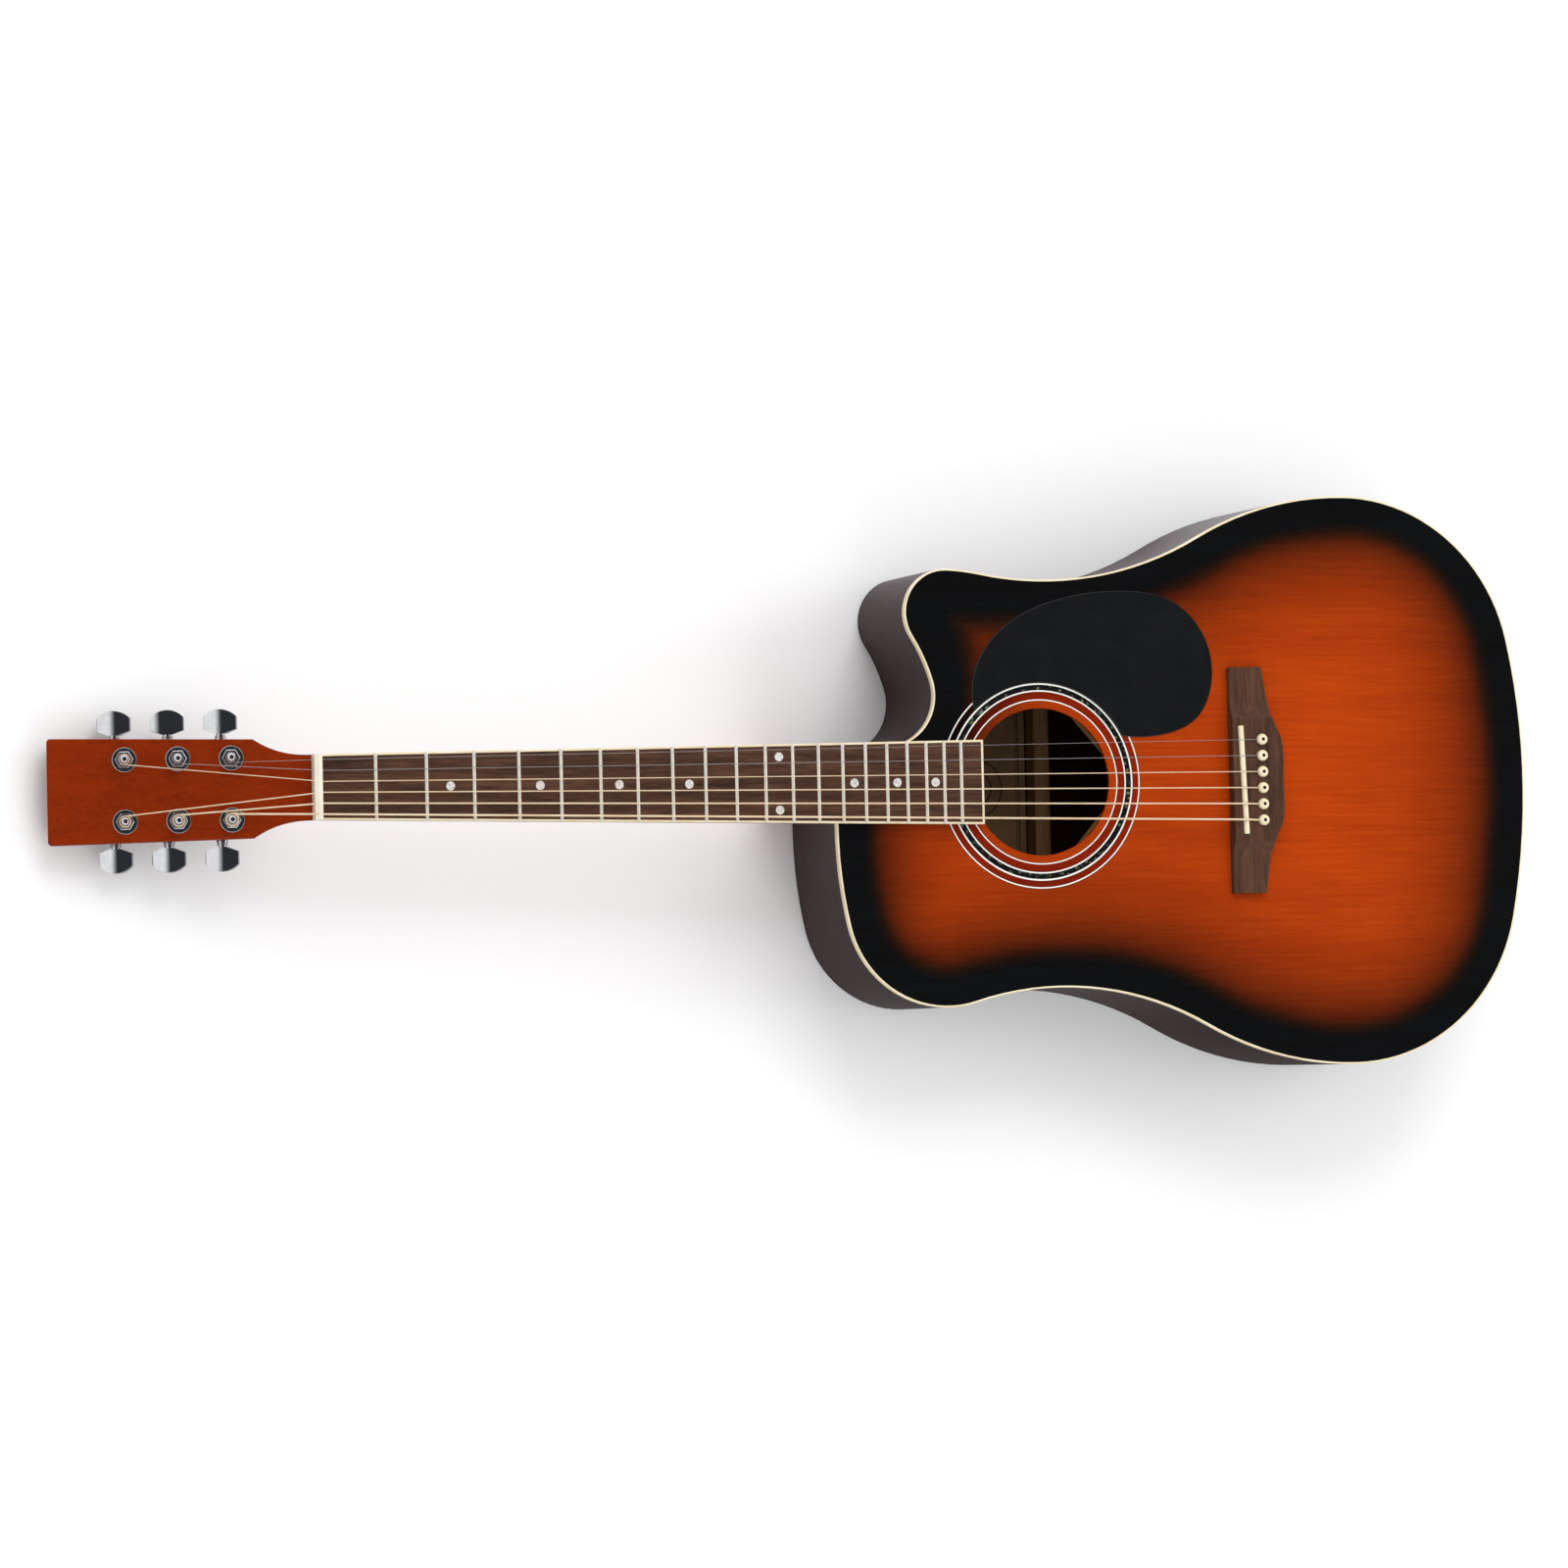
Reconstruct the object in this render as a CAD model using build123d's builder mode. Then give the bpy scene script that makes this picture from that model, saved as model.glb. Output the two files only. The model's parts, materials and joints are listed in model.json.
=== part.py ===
from build123d import *

# Right-handed steel-string acoustic guitar: a dreadnought with one cutaway, lying on its flat back.
# Row frame: +Z up, +X from the headstock to the tail, +Y to the treble (cutaway) side, origin at the
# centre of the flat back. The body is shallower at the neck, so the soundboard rises towards the tail.
# Most parts are drawn on the plane "top": x runs from the nut to the tail, y is to the treble side
# and height 0 is the soundboard's upper surface.

import os
from math import atan, cos, degrees, pi, radians, sin, tan

os.makedirs("parts", exist_ok=True)

# ---------------------------------------------------------------- driving dimensions (mm, degrees)
SCALE = 650.0  # nut to saddle
FRET_COUNT = 20
STRING_GAUGES = (0.30, 0.41, 0.61, 0.81, 1.07, 1.35)  # string 1, the thinnest, is on the treble side
PLAIN_STRINGS = (1, 2)

BODY_FRONT = 357.2  # flat front of the body, at the 14th fret
BODY_TAIL = 866.7
FRONT_DEPTH = 90.0  # rest face to soundboard surface at the body's front
BODY_TAPER = 3.0  # angle between the back and the soundboard
TOP_THICKNESS = 2.8
BACK_THICKNESS = 3.0
SIDE_THICKNESS = 2.5
BINDING_WIDTH = 1.2
BINDING_HEIGHT = 4.5
BINDING_ROUNDING = 0.4
LINING_WIDTH = 6.0
LINING_HEIGHT = 14.0

SOUNDHOLE_X = 505.0
SOUNDHOLE_RADIUS = 50.0
ROSETTE_RINGS = ((55.0, 56.2), (61.0, 67.2), (71.4, 72.8))  # inner and outer radius of each inlay
ROSETTE_DEPTH = 1.2
PICKGUARD_THICKNESS = 1.0

NUT_WIDTH = 43.0
NUT_THICKNESS = 5.0
FRETBOARD_END = 461.4
FRETBOARD_END_WIDTH = 57.0
FRETBOARD_THICKNESS = 6.0
FRETBOARD_BINDING = 1.5
FRET_WIDTH = 2.3
FRET_HEIGHT = 1.1
TANG_WIDTH = 0.6
TANG_DEPTH = 2.2

NECK_DEPTH_NUT = 15.0  # wood under the fretboard
NECK_DEPTH_HEEL = 18.0
HEEL_CLEARANCE = 4.0  # heel cap to the back's rest face
TENON_LENGTH = 22.0
TENON_DEPTH = 66.0
TENON_NEAR_HALF = 10.0  # half widths at the body's front and at the tenon's far end
TENON_FAR_HALF = 14.0

HEAD_TILT = 14.0
HEAD_LENGTH = 171.5
HEAD_THICKNESS = 14.0
HEAD_HALF_END = 34.7
HEAD_SHOULDER = 38.0
HEAD_HALF_SHOULDER = 32.2

BRIDGE_LENGTH = 155.0
BRIDGE_FRONT = 643.5
BRIDGE_HEIGHT = 9.0
BRIDGE_BLOCK = 84.0  # raised middle
BRIDGE_BACK = 680.5  # rear edge in the middle
WING_BACK = 667.5  # rear edge at the wing tips
WING_ROOT = (673.0, 44.0)  # where the wing's straight rear edge meets the belly's curve
BELLY_POINT = (678.2, 32.0)  # on that curve
WING_SCOOP = ((0, 9.0), (5.0, 6.2), (13.0, 4.5))  # out from the block, height
SADDLE_X = 650.6
SADDLE_SLANT = 2.2
SADDLE_LENGTH = 74.0
SADDLE_THICKNESS = 3.8
SADDLE_TOP = 11.0
SADDLE_CROWN = 1.8  # rounding of its top edges
PIN_X = 664.7
PIN_SPACING = 11.06

POST_SPACING = 34.6
FIRST_POST = 52.1  # from the nut's rear edge, along the head
POST_SIDE = 20.2  # post axis to the centre line
POST_RADIUS = 3.0
GEAR_TEETH = 14
GEAR_TIP = 5.0
GEAR_ROOT = 3.9
GEAR_THICKNESS = 3.6
WORM_OFFSET = 6.7  # post axis to worm axis, towards the head's tip
WORM_DEPTH = 19.5  # head face to worm axis
WORM_TIP = 2.55
WORM_ROOT = 1.45
BUTTON_WIDTH = 21.8
BUTTON_LENGTH = 16.0
BUTTON_THICKNESS = 9.0
BUTTON_NECK = 6.4  # its width where it meets the shaft
BUTTON_SHOULDER = 2.9  # from its start to its full width
BUTTON_CORNER = 11.2  # from its start to the crown's corners
BUTTON_CROWN_POINT = (6.3, 14.6)  # on the crown's curve, out from the middle and from its start
BUTTON_RIM = 4.0  # its thickness at both sides
BUTTON_LEAN = {1: 12, 2: -3, 3: 12, 4: 12, 5: 12, 6: 12}  # at rest, towards the head's tip

RUNNING = 0.05  # radial running clearance
TOLERANCE = 0.01
STRING_CLEARANCE = 0.04

# ---------------------------------------------------------------- places worked out from those
taper_sin = sin(radians(BODY_TAPER))
taper_cos = cos(radians(BODY_TAPER))
taper_tan = tan(radians(BODY_TAPER))
nut_height = FRONT_DEPTH - BODY_FRONT * taper_sin
tail_depth = nut_height + BODY_TAIL * taper_sin
front_foot = BODY_FRONT * taper_cos + FRONT_DEPTH * taper_tan
tail_foot = BODY_TAIL * taper_cos + tail_depth * taper_tan

top = Plane(
    origin=(-(front_foot + tail_foot) / 2, 0, nut_height),
    x_dir=(taper_cos, 0, taper_sin),
    z_dir=(-taper_sin, 0, taper_cos),
)
top_normal = Axis(top.origin, top.z_dir)
head_angle = radians(HEAD_TILT + BODY_TAPER)
head = Plane(
    origin=top.from_local_coords((-NUT_THICKNESS, 0, 0)),
    x_dir=(-cos(head_angle), 0, -sin(head_angle)),
    z_dir=(-sin(head_angle), 0, cos(head_angle)),
)
back_inside = Plane.XY.offset(BACK_THICKNESS)
through = tail_depth * 1.5  # long enough to pass through the whole body

TREBLE = 1
BASS = -1
STRINGS = (1, 2, 3, 4, 5, 6)
STRING_SIDE = {1: TREBLE, 2: TREBLE, 3: TREBLE, 4: BASS, 5: BASS, 6: BASS}
STRING_ROW = {1: 0, 2: 1, 3: 2, 4: 2, 5: 1, 6: 0}  # which post, counted from the nut
SOUNDHOLE = (SOUNDHOLE_X, 0)
UPWARD = (Align.CENTER, Align.CENTER, Align.MIN)


def across(x):
    """Plane square to the strings at x, with y to the treble side and the height as its axes."""
    return Plane(origin=top.from_local_coords((x, 0, 0)), x_dir=(0, 1, 0), z_dir=top.x_dir)


def along(y):
    """Plane through the strings' direction at y, with x and the height as its axes."""
    return Plane(origin=top.from_local_coords((0, y, 0)), x_dir=top.x_dir, z_dir=(0, -1, 0))


def post_plane(string):
    """Plane on the head's face at a string's post: x to the tip, z along the post."""
    distance = FIRST_POST + STRING_ROW[string] * POST_SPACING
    origin = head.from_local_coords((distance, -STRING_SIDE[string] * POST_SIDE, 0))
    return Plane(origin=origin, x_dir=head.x_dir, z_dir=head.z_dir)


def worm_plane(string):
    """Plane at a worm's middle: z out to the button, x to the post."""
    origin = post_plane(string).from_local_coords((WORM_OFFSET, 0, -WORM_DEPTH))
    return Plane(origin=origin, x_dir=-head.x_dir, z_dir=(0, STRING_SIDE[string], 0))


def fret_x(number):
    """Distance from the nut to a fret."""
    return SCALE * (1 - 2 ** (-number / 12))


def fretboard_half(x):
    """Half of the fretboard's width at x."""
    return (NUT_WIDTH + (FRETBOARD_END_WIDTH - NUT_WIDTH) * x / FRETBOARD_END) / 2


def round_bar(radius, low, high, mode=Mode.ADD):
    """Put a round bar along z, between two heights, into the part being built."""
    with Locations((0, 0, low)):
        Cylinder(radius, high - low, align=UPWARD, mode=mode)


def save(piece, name):
    """Label a finished piece and write its STEP file."""
    piece.part.label = name
    export_step(piece.part, f"parts/{name}.step")


# ---------------------------------------------------------------- body outline
# Tangent arcs from the tail's middle, each a radius and a sweep; plus turns to the body's inside.
LOWER_BOUT = ((460.0, 12.1), (126.0, 77.6), (221.0, 29.7))
BASS_ARCS = LOWER_BOUT + ((218.0, -46.0), (71.5, 93.9), (305.5, 12.8))
TREBLE_ARCS = LOWER_BOUT + (
    (234.2, -40.7),
    (144.9, 9.3),
    (29.9, 124.4),
    (119.7, -15.7),
    (34.1, -106.6),
)


def arc_chain(arcs, side):
    """Draw tangent arcs from the tail's middle round one side, and return the last one."""
    last = None
    for radius, sweep_angle in arcs:
        start = (BODY_TAIL, 0) if last is None else last @ 1
        heading = (0, side) if last is None else last % 1
        last = JernArc(start=start, tangent=heading, radius=radius, arc_size=side * sweep_angle)
    return last


with BuildSketch() as body_outline:
    with BuildLine():
        bass_end = arc_chain(BASS_ARCS, BASS)
        treble_end = arc_chain(TREBLE_ARCS, TREBLE)
        Polyline(bass_end @ 1, (BODY_FRONT, (treble_end @ 1).Y), treble_end @ 1)
    make_face()


def inset_outline(distance):
    """The body's outline drawn in by a distance."""
    with BuildSketch() as smaller:
        add(body_outline.sketch)
        offset(amount=-distance, kind=Kind.INTERSECTION, mode=Mode.REPLACE)
    return smaller.sketch


outline_in_binding = inset_outline(BINDING_WIDTH)
outline_in_side = inset_outline(SIDE_THICKNESS)
outline_in_lining = inset_outline(SIDE_THICKNESS + LINING_WIDTH)


# ---------------------------------------------------------------- string paths
NUT_STRING_SPREAD = 35.6
SADDLE_STRING_SPREAD = 54.7
NUT_STRING_HEIGHT = 7.6  # underside of the strings at the nut
SADDLE_GAP = 0.1
WRAP_HEIGHT = 6.0  # string's centre above the head's face at its post
BALL_RADIUS = 1.9
BALL_LENGTH = 3.4
BRIDGE_PLATE_THICKNESS = 2.5
PIN_SHANK = 2.5
STRING_SINK = 0.4  # how far the strings sit in the grooves of their pins
plate_underside = -TOP_THICKNESS - BRIDGE_PLATE_THICKNESS
string_drop_x = PIN_X - PIN_SHANK + STRING_SINK


def string_position(string, spread):
    """Distance of a string from the centre line where all six spread over a width."""
    return spread / 2 - (string - 1) * spread / 5


def wrap_point(string):
    """Where a string's centre line meets its post, on the post's inner side."""
    reach = POST_RADIUS + RUNNING + STRING_GAUGES[string - 1] / 2
    side = STRING_SIDE[string]
    return post_plane(string).from_local_coords((0, side * reach, WRAP_HEIGHT))


def string_run(string, radius):
    """A round bar of a radius along a string's path, from its post to its ball end."""
    half_gauge = STRING_GAUGES[string - 1] / 2
    pin_y = string_position(string, PIN_SPACING * 5)
    saddle_y = string_position(string, SADDLE_STRING_SPREAD)
    saddle_x = SADDLE_X - saddle_y * tan(radians(SADDLE_SLANT))
    places = (
        (0, string_position(string, NUT_STRING_SPREAD), NUT_STRING_HEIGHT + half_gauge),
        (saddle_x, saddle_y, SADDLE_TOP + SADDLE_GAP + half_gauge),
        (string_drop_x, pin_y, BRIDGE_HEIGHT),
        (string_drop_x, pin_y, plate_underside),
    )
    with BuildPart() as bar:
        with BuildLine():
            path = Polyline(wrap_point(string), *(top.from_local_coords(place) for place in places))
        with BuildSketch(Plane(origin=path @ 0, z_dir=path % 0)):
            Circle(radius)
        sweep(transition=Transition.RIGHT)
    return bar.part


strings = {string: string_run(string, STRING_GAUGES[string - 1] / 2) for string in STRINGS}
string_rooms = {
    string: string_run(string, STRING_GAUGES[string - 1] / 2 + STRING_CLEARANCE) for string in STRINGS
}

with BuildPart() as strings_plain:
    for string in PLAIN_STRINGS:
        add(strings[string])
save(strings_plain, "strings_plain")

with BuildPart() as strings_wound:
    for string in STRINGS[len(PLAIN_STRINGS) :]:
        add(strings[string])
save(strings_wound, "strings_wound")

with BuildPart(top.offset(plate_underside - BALL_RADIUS)) as string_ball_ends:
    for string in STRINGS:
        with Locations((string_drop_x, string_position(string, PIN_SPACING * 5), 0)):
            Cylinder(BALL_RADIUS, BALL_LENGTH, rotation=(90, 0, 0))
save(string_ball_ends, "string_ball_ends")

# ---------------------------------------------------------------- body shell
with BuildPart() as rosette:
    with BuildSketch(top):
        with Locations(SOUNDHOLE):
            for inner, outer in reversed(ROSETTE_RINGS):
                Circle(outer)
                Circle(inner, mode=Mode.SUBTRACT)
    extrude(amount=-ROSETTE_DEPTH)
save(rosette, "rosette")

pin_places = [(PIN_X, string_position(string, PIN_SPACING * 5)) for string in STRINGS]

with BuildPart() as soundboard:
    with BuildSketch(top):
        add(outline_in_binding)
        with Locations(SOUNDHOLE):
            Circle(SOUNDHOLE_RADIUS, mode=Mode.SUBTRACT)
        with Locations(*pin_places):
            Circle(PIN_SHANK, mode=Mode.SUBTRACT)
    extrude(amount=-TOP_THICKNESS)
    add(rosette.part, mode=Mode.SUBTRACT)
    for string in STRINGS:
        add(string_rooms[string], mode=Mode.SUBTRACT)
save(soundboard, "soundboard")

# The tenon is wider at its far end, as a dovetail.
with BuildPart() as tenon:
    with BuildSketch(top.offset(-TOP_THICKNESS)):
        with BuildLine():
            Polyline(
                (BODY_FRONT, TENON_NEAR_HALF),
                (BODY_FRONT + TENON_LENGTH, TENON_FAR_HALF),
                (BODY_FRONT + TENON_LENGTH, -TENON_FAR_HALF),
                (BODY_FRONT, -TENON_NEAR_HALF),
                close=True,
            )
        make_face()
    extrude(amount=-TENON_DEPTH)

with BuildPart() as binding:
    with BuildSketch(top):
        add(body_outline.sketch)
        add(outline_in_binding, mode=Mode.SUBTRACT)
    extrude(amount=-BINDING_HEIGHT)
    outer_edges = binding.faces().sort_by(top_normal)[-1].outer_wire().edges()
    fillet(outer_edges, radius=BINDING_ROUNDING)
    add(tenon.part, mode=Mode.SUBTRACT)
save(binding, "binding")

with BuildPart() as back:
    with BuildSketch(top):
        add(body_outline.sketch)
    extrude(amount=-through)
    split(bisect_by=back_inside, keep=Keep.BOTTOM)
    split(bisect_by=Plane.XY, keep=Keep.TOP)
save(back, "back")

ROD_RADIUS = 2.5
ROD_HEIGHT = -8.0  # axis, under the fretboard
ROD_START = 12.0
ROD_END = BODY_FRONT + 60.0
ROD_THREAD = 1.9
ROD_THREAD_LENGTH = 8.0
ROD_NUT_LENGTH = 11.0
ROD_NUT_RADIUS = 3.6
ROD_KEY_FLATS = 4.0
ROD_KEY_DEPTH = 7.0
with BuildPart() as rod_channel:
    with BuildSketch(across(ROD_START)):
        with Locations((0, ROD_HEIGHT / 2)):
            Rectangle(2 * ROD_RADIUS, -ROD_HEIGHT)
        with Locations((0, ROD_HEIGHT)):
            Circle(ROD_RADIUS)
    extrude(amount=BODY_FRONT - ROD_START)
    with BuildSketch(across(BODY_FRONT)):
        with Locations((0, ROD_HEIGHT)):
            Circle(ROD_RADIUS)
    extrude(amount=ROD_END - BODY_FRONT)

END_PIN_SHANK = 4.0
END_PIN_HOLD = 19.0  # length of the shank inside the body
END_PIN_NECK = 4.5
END_PIN_NECK_LENGTH = 6.0
END_PIN_FLANGE = 7.5
END_PIN_FLANGE_THICKNESS = 2.0
END_PIN_HEAD = 7.0
END_PIN_HEAD_LENGTH = 5.0
END_PIN_ROUNDING = 0.9
end_pin_plane = Plane(
    origin=top.from_local_coords((BODY_TAIL, 0, -tail_depth / 2)), x_dir=(0, 1, 0), z_dir=top.x_dir
)
end_pin_waist = END_PIN_FLANGE_THICKNESS + END_PIN_NECK_LENGTH
with BuildPart(end_pin_plane) as end_pin:
    round_bar(END_PIN_SHANK, -END_PIN_HOLD, 0)
    round_bar(END_PIN_FLANGE, 0, END_PIN_FLANGE_THICKNESS)
    round_bar(END_PIN_NECK, END_PIN_FLANGE_THICKNESS, end_pin_waist)
    round_bar(END_PIN_HEAD, end_pin_waist, end_pin_waist + END_PIN_HEAD_LENGTH)
    wide_rims = end_pin.edges().filter_by(GeomType.CIRCLE).filter_by(
        lambda edge: edge.radius > END_PIN_NECK and end_pin_plane.to_local_coords(edge.center()).Z > TOLERANCE
    )
    fillet(wide_rims, radius=END_PIN_ROUNDING)
save(end_pin, "end_pin")

with BuildPart() as rim:
    with BuildSketch(top.offset(-TOP_THICKNESS)):
        add(body_outline.sketch)
        add(outline_in_side, mode=Mode.SUBTRACT)
    extrude(amount=-through)
    split(bisect_by=back_inside, keep=Keep.TOP)
    add(binding.part, mode=Mode.SUBTRACT)
    add(tenon.part, mode=Mode.SUBTRACT)
    add(end_pin.part, mode=Mode.SUBTRACT)

with BuildPart() as side_treble:
    add(rim.part)
    split(bisect_by=Plane.XZ, keep=Keep.BOTTOM)
save(side_treble, "side_treble")

with BuildPart() as side_bass:
    add(rim.part)
    split(bisect_by=Plane.XZ, keep=Keep.TOP)
save(side_bass, "side_bass")

NECK_BLOCK_LENGTH = 58.0
TAIL_BLOCK_LENGTH = 20.0
BLOCK_WIDTH = 76.0


def body_block(x_start, x_end):
    """A block that fills the body from back to soundboard, between two distances from the nut."""
    with BuildPart() as block:
        with BuildSketch(top.offset(-TOP_THICKNESS)):
            add(outline_in_side)
            with Locations(((x_start + x_end) / 2, 0)):
                Rectangle(x_end - x_start, BLOCK_WIDTH, mode=Mode.INTERSECT)
        extrude(amount=-through)
        split(bisect_by=back_inside, keep=Keep.TOP)
    return block.part


neck_block_end = BODY_FRONT + NECK_BLOCK_LENGTH
tail_block_start = BODY_TAIL - SIDE_THICKNESS - TAIL_BLOCK_LENGTH
with BuildPart() as neck_block:
    add(body_block(BODY_FRONT, neck_block_end))
    add(tenon.part, mode=Mode.SUBTRACT)
    add(rod_channel.part, mode=Mode.SUBTRACT)
save(neck_block, "neck_block")

with BuildPart() as tail_block:
    add(body_block(tail_block_start, BODY_TAIL))
    add(end_pin.part, mode=Mode.SUBTRACT)
save(tail_block, "tail_block")


def lining_plan(plane):
    """Plan of the strips inside the sides, which leave room for both end blocks."""
    with BuildSketch(plane) as plan:
        add(outline_in_side)
        add(outline_in_lining, mode=Mode.SUBTRACT)
        for x_start, x_end in ((BODY_FRONT, neck_block_end), (tail_block_start, BODY_TAIL)):
            with Locations(((x_start + x_end) / 2, 0)):
                Rectangle(x_end - x_start, BLOCK_WIDTH, mode=Mode.SUBTRACT)
    return plan.sketch


with BuildPart() as back_linings:
    extrude(lining_plan(top), amount=-through)
    split(bisect_by=back_inside, keep=Keep.TOP)
    split(bisect_by=back_inside.offset(LINING_HEIGHT), keep=Keep.BOTTOM)

with BuildPart() as linings:
    extrude(lining_plan(top.offset(-TOP_THICKNESS)), amount=-LINING_HEIGHT)
    add(back_linings.part)
save(linings, "linings")

# ---------------------------------------------------------------- braces and the parts glued inside
BRACE_WIDTH = 8.0
BRACE_ROUNDING = 2.5
X_BRACE_HEIGHT = 14.0
X_CROSSING = 578.0
X_ANGLE = 49.0
UPPER_BAR_X = 441.0
UPPER_BAR_WIDTH = 12.0
UPPER_BAR_HEIGHT = 16.0
WRENCH_HOLE = 4.0  # radius, in line with the truss rod's nut
TONE_BARS_X = (729.0, 778.0)
TONE_BAR_ANGLE = 62.0
TONE_BAR_SIZE = (190.0, 7.0, 9.0)  # length, width, height
FINGER_X = 632.0
FINGER_Y = 122.0
FINGER_ANGLE = 35.0
FINGER_SIZE = (62.0, 6.0, 8.0)
brace_surface = top.offset(-TOP_THICKNESS)


def top_brace(centre, angle, length, width, height):
    """A bar under the soundboard, trimmed to the space inside the linings."""
    with BuildPart() as bar:
        with BuildSketch(brace_surface):
            with Locations(Location(centre, angle)):
                Rectangle(length, width)
            add(outline_in_lining, mode=Mode.INTERSECT)
        extrude(amount=-height)
        fillet(bar.edges().group_by(top_normal)[0].sort_by(SortBy.LENGTH)[-2:], BRACE_ROUNDING)
    return bar.part


def notch(depth_start, depth_end):
    """The diamond that one X brace leaves for the other, between two depths."""
    half_x = BRACE_WIDTH / 2 / sin(radians(X_ANGLE))
    half_y = BRACE_WIDTH / 2 / cos(radians(X_ANGLE))
    with BuildPart() as gap:
        with BuildSketch(brace_surface.offset(-depth_start)):
            with BuildLine():
                Polyline(
                    (X_CROSSING - half_x, 0),
                    (X_CROSSING, half_y),
                    (X_CROSSING + half_x, 0),
                    (X_CROSSING, -half_y),
                    close=True,
                )
            make_face()
        extrude(amount=depth_start - depth_end)
    return gap.part


def x_leg(angle, notch_start, notch_end):
    """One leg of the X, notched between two depths where the other leg passes."""
    with BuildPart() as leg:
        add(top_brace((X_CROSSING, 0), angle, BODY_TAIL, BRACE_WIDTH, X_BRACE_HEIGHT))
        add(notch(notch_start, notch_end), mode=Mode.SUBTRACT)
    return leg.part


with BuildPart() as upper_bar:
    add(top_brace((UPPER_BAR_X, 0), 90.0, BODY_TAIL, UPPER_BAR_WIDTH, UPPER_BAR_HEIGHT))
    with Locations(across(UPPER_BAR_X)):
        with Locations((0, ROD_HEIGHT, 0)):
            Cylinder(WRENCH_HOLE, 2 * UPPER_BAR_WIDTH, mode=Mode.SUBTRACT)

with BuildPart() as top_braces:
    add(x_leg(X_ANGLE, 0, X_BRACE_HEIGHT / 2))
    add(x_leg(-X_ANGLE, X_BRACE_HEIGHT / 2, X_BRACE_HEIGHT))
    add(upper_bar.part)
    for bar_x in TONE_BARS_X:
        add(top_brace((bar_x, 0), TONE_BAR_ANGLE, *TONE_BAR_SIZE))
    for side in (TREBLE, BASS):
        add(top_brace((FINGER_X, side * FINGER_Y), -side * FINGER_ANGLE, *FINGER_SIZE))
save(top_braces, "top_braces")

BACK_BRACE_WIDTH = 11.5
BACK_BRACE_HEIGHT = 15.0
BACK_BRACES_X = (-176.0, -73.9, 45.0, 160.0)  # in the row frame
LABEL_SIZE = (76.0, 112.0)
LABEL_THICKNESS = 0.4
LABEL_GAP = 1.5  # from the label to the brace behind it
LABEL_CORNER = 3.0
BRIDGE_PLATE_SIZE = (40.0, 124.0)


def back_brace(x):
    """A bar across the back, trimmed to the space inside the linings."""
    with BuildPart() as bar:
        with BuildSketch(top):
            add(outline_in_lining)
        extrude(amount=-through)
        split(bisect_by=back_inside, keep=Keep.TOP)
        with BuildSketch(Plane.XY):
            with Locations((x, 0)):
                Rectangle(BACK_BRACE_WIDTH, BODY_TAIL)
        extrude(amount=BACK_THICKNESS + BACK_BRACE_HEIGHT, mode=Mode.INTERSECT)
        fillet(bar.edges().group_by(Axis.Z)[-1].sort_by(SortBy.LENGTH)[-2:], BRACE_ROUNDING)
    return bar.part


with BuildPart() as back_braces:
    for brace_x in BACK_BRACES_X:
        add(back_brace(brace_x))
save(back_braces, "back_braces")

label_x = BACK_BRACES_X[1] - BACK_BRACE_WIDTH / 2 - LABEL_GAP - LABEL_SIZE[0] / 2
with BuildPart() as paper_label:
    with BuildSketch(back_inside):
        with Locations((label_x, 0)):
            RectangleRounded(*LABEL_SIZE, radius=LABEL_CORNER)
    extrude(amount=LABEL_THICKNESS)
save(paper_label, "paper_label")

with BuildPart() as bridge_plate:
    with BuildSketch(brace_surface):
        with Locations((PIN_X, 0)):
            Rectangle(*BRIDGE_PLATE_SIZE)
        with Locations(*pin_places):
            Circle(PIN_SHANK, mode=Mode.SUBTRACT)
    extrude(amount=-BRIDGE_PLATE_THICKNESS)
    for string in STRINGS:
        add(string_rooms[string], mode=Mode.SUBTRACT)
save(bridge_plate, "bridge_plate")

# ---------------------------------------------------------------- neck and headstock
CORNER = 2.5
HEAD_FLARE_START = 4.0
SLAB_START = 24.0  # where the head reaches its full thickness
FACE_SLAB = 5.0
BLEND_SINK = 2.0  # the blend under the nut starts this far below the face
BLEND_INSET = 0.15
BLEND_OVERLAP = 2.0  # how far the blend runs on under the full-thickness slab
HEAD_ROUNDING = 1.2
NECK_ROUND = 2.3  # 2 is an ellipse, more is squarer
HEAD_SQUARE = 9.0
PROFILE_POINTS = 11


def rounded_side(half_width, reach, squareness):
    """Points of a half superellipse from (half_width, 0) through (0, -reach) to (-half_width, 0)."""
    points = []
    for step in range(PROFILE_POINTS):
        angle = pi * step / (PROFILE_POINTS - 1)
        sideways = abs(cos(angle)) ** (2 / squareness) * half_width
        down = sin(angle) ** (2 / squareness) * reach
        points.append((sideways if angle < pi / 2 else -sideways, -down))
    return points


def half_round(plane, half_width, reach, squareness):
    """A section with one straight edge on the plane's x axis and a rounded side below it."""
    with BuildSketch(plane) as section:
        with BuildLine():
            points = rounded_side(half_width, reach, squareness)
            Spline(*points, tangents=[(0, -1), (0, 1)])
            Line(points[-1], points[0])
        make_face()
    return section.sketch


def heel_plane(depth):
    """Plane parallel to the soundboard at a depth: x to the treble side, y from the body to the tail."""
    return Plane(
        origin=top.from_local_coords((BODY_FRONT, 0, -depth)), x_dir=(0, -1, 0), z_dir=top.z_dir
    )


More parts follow.
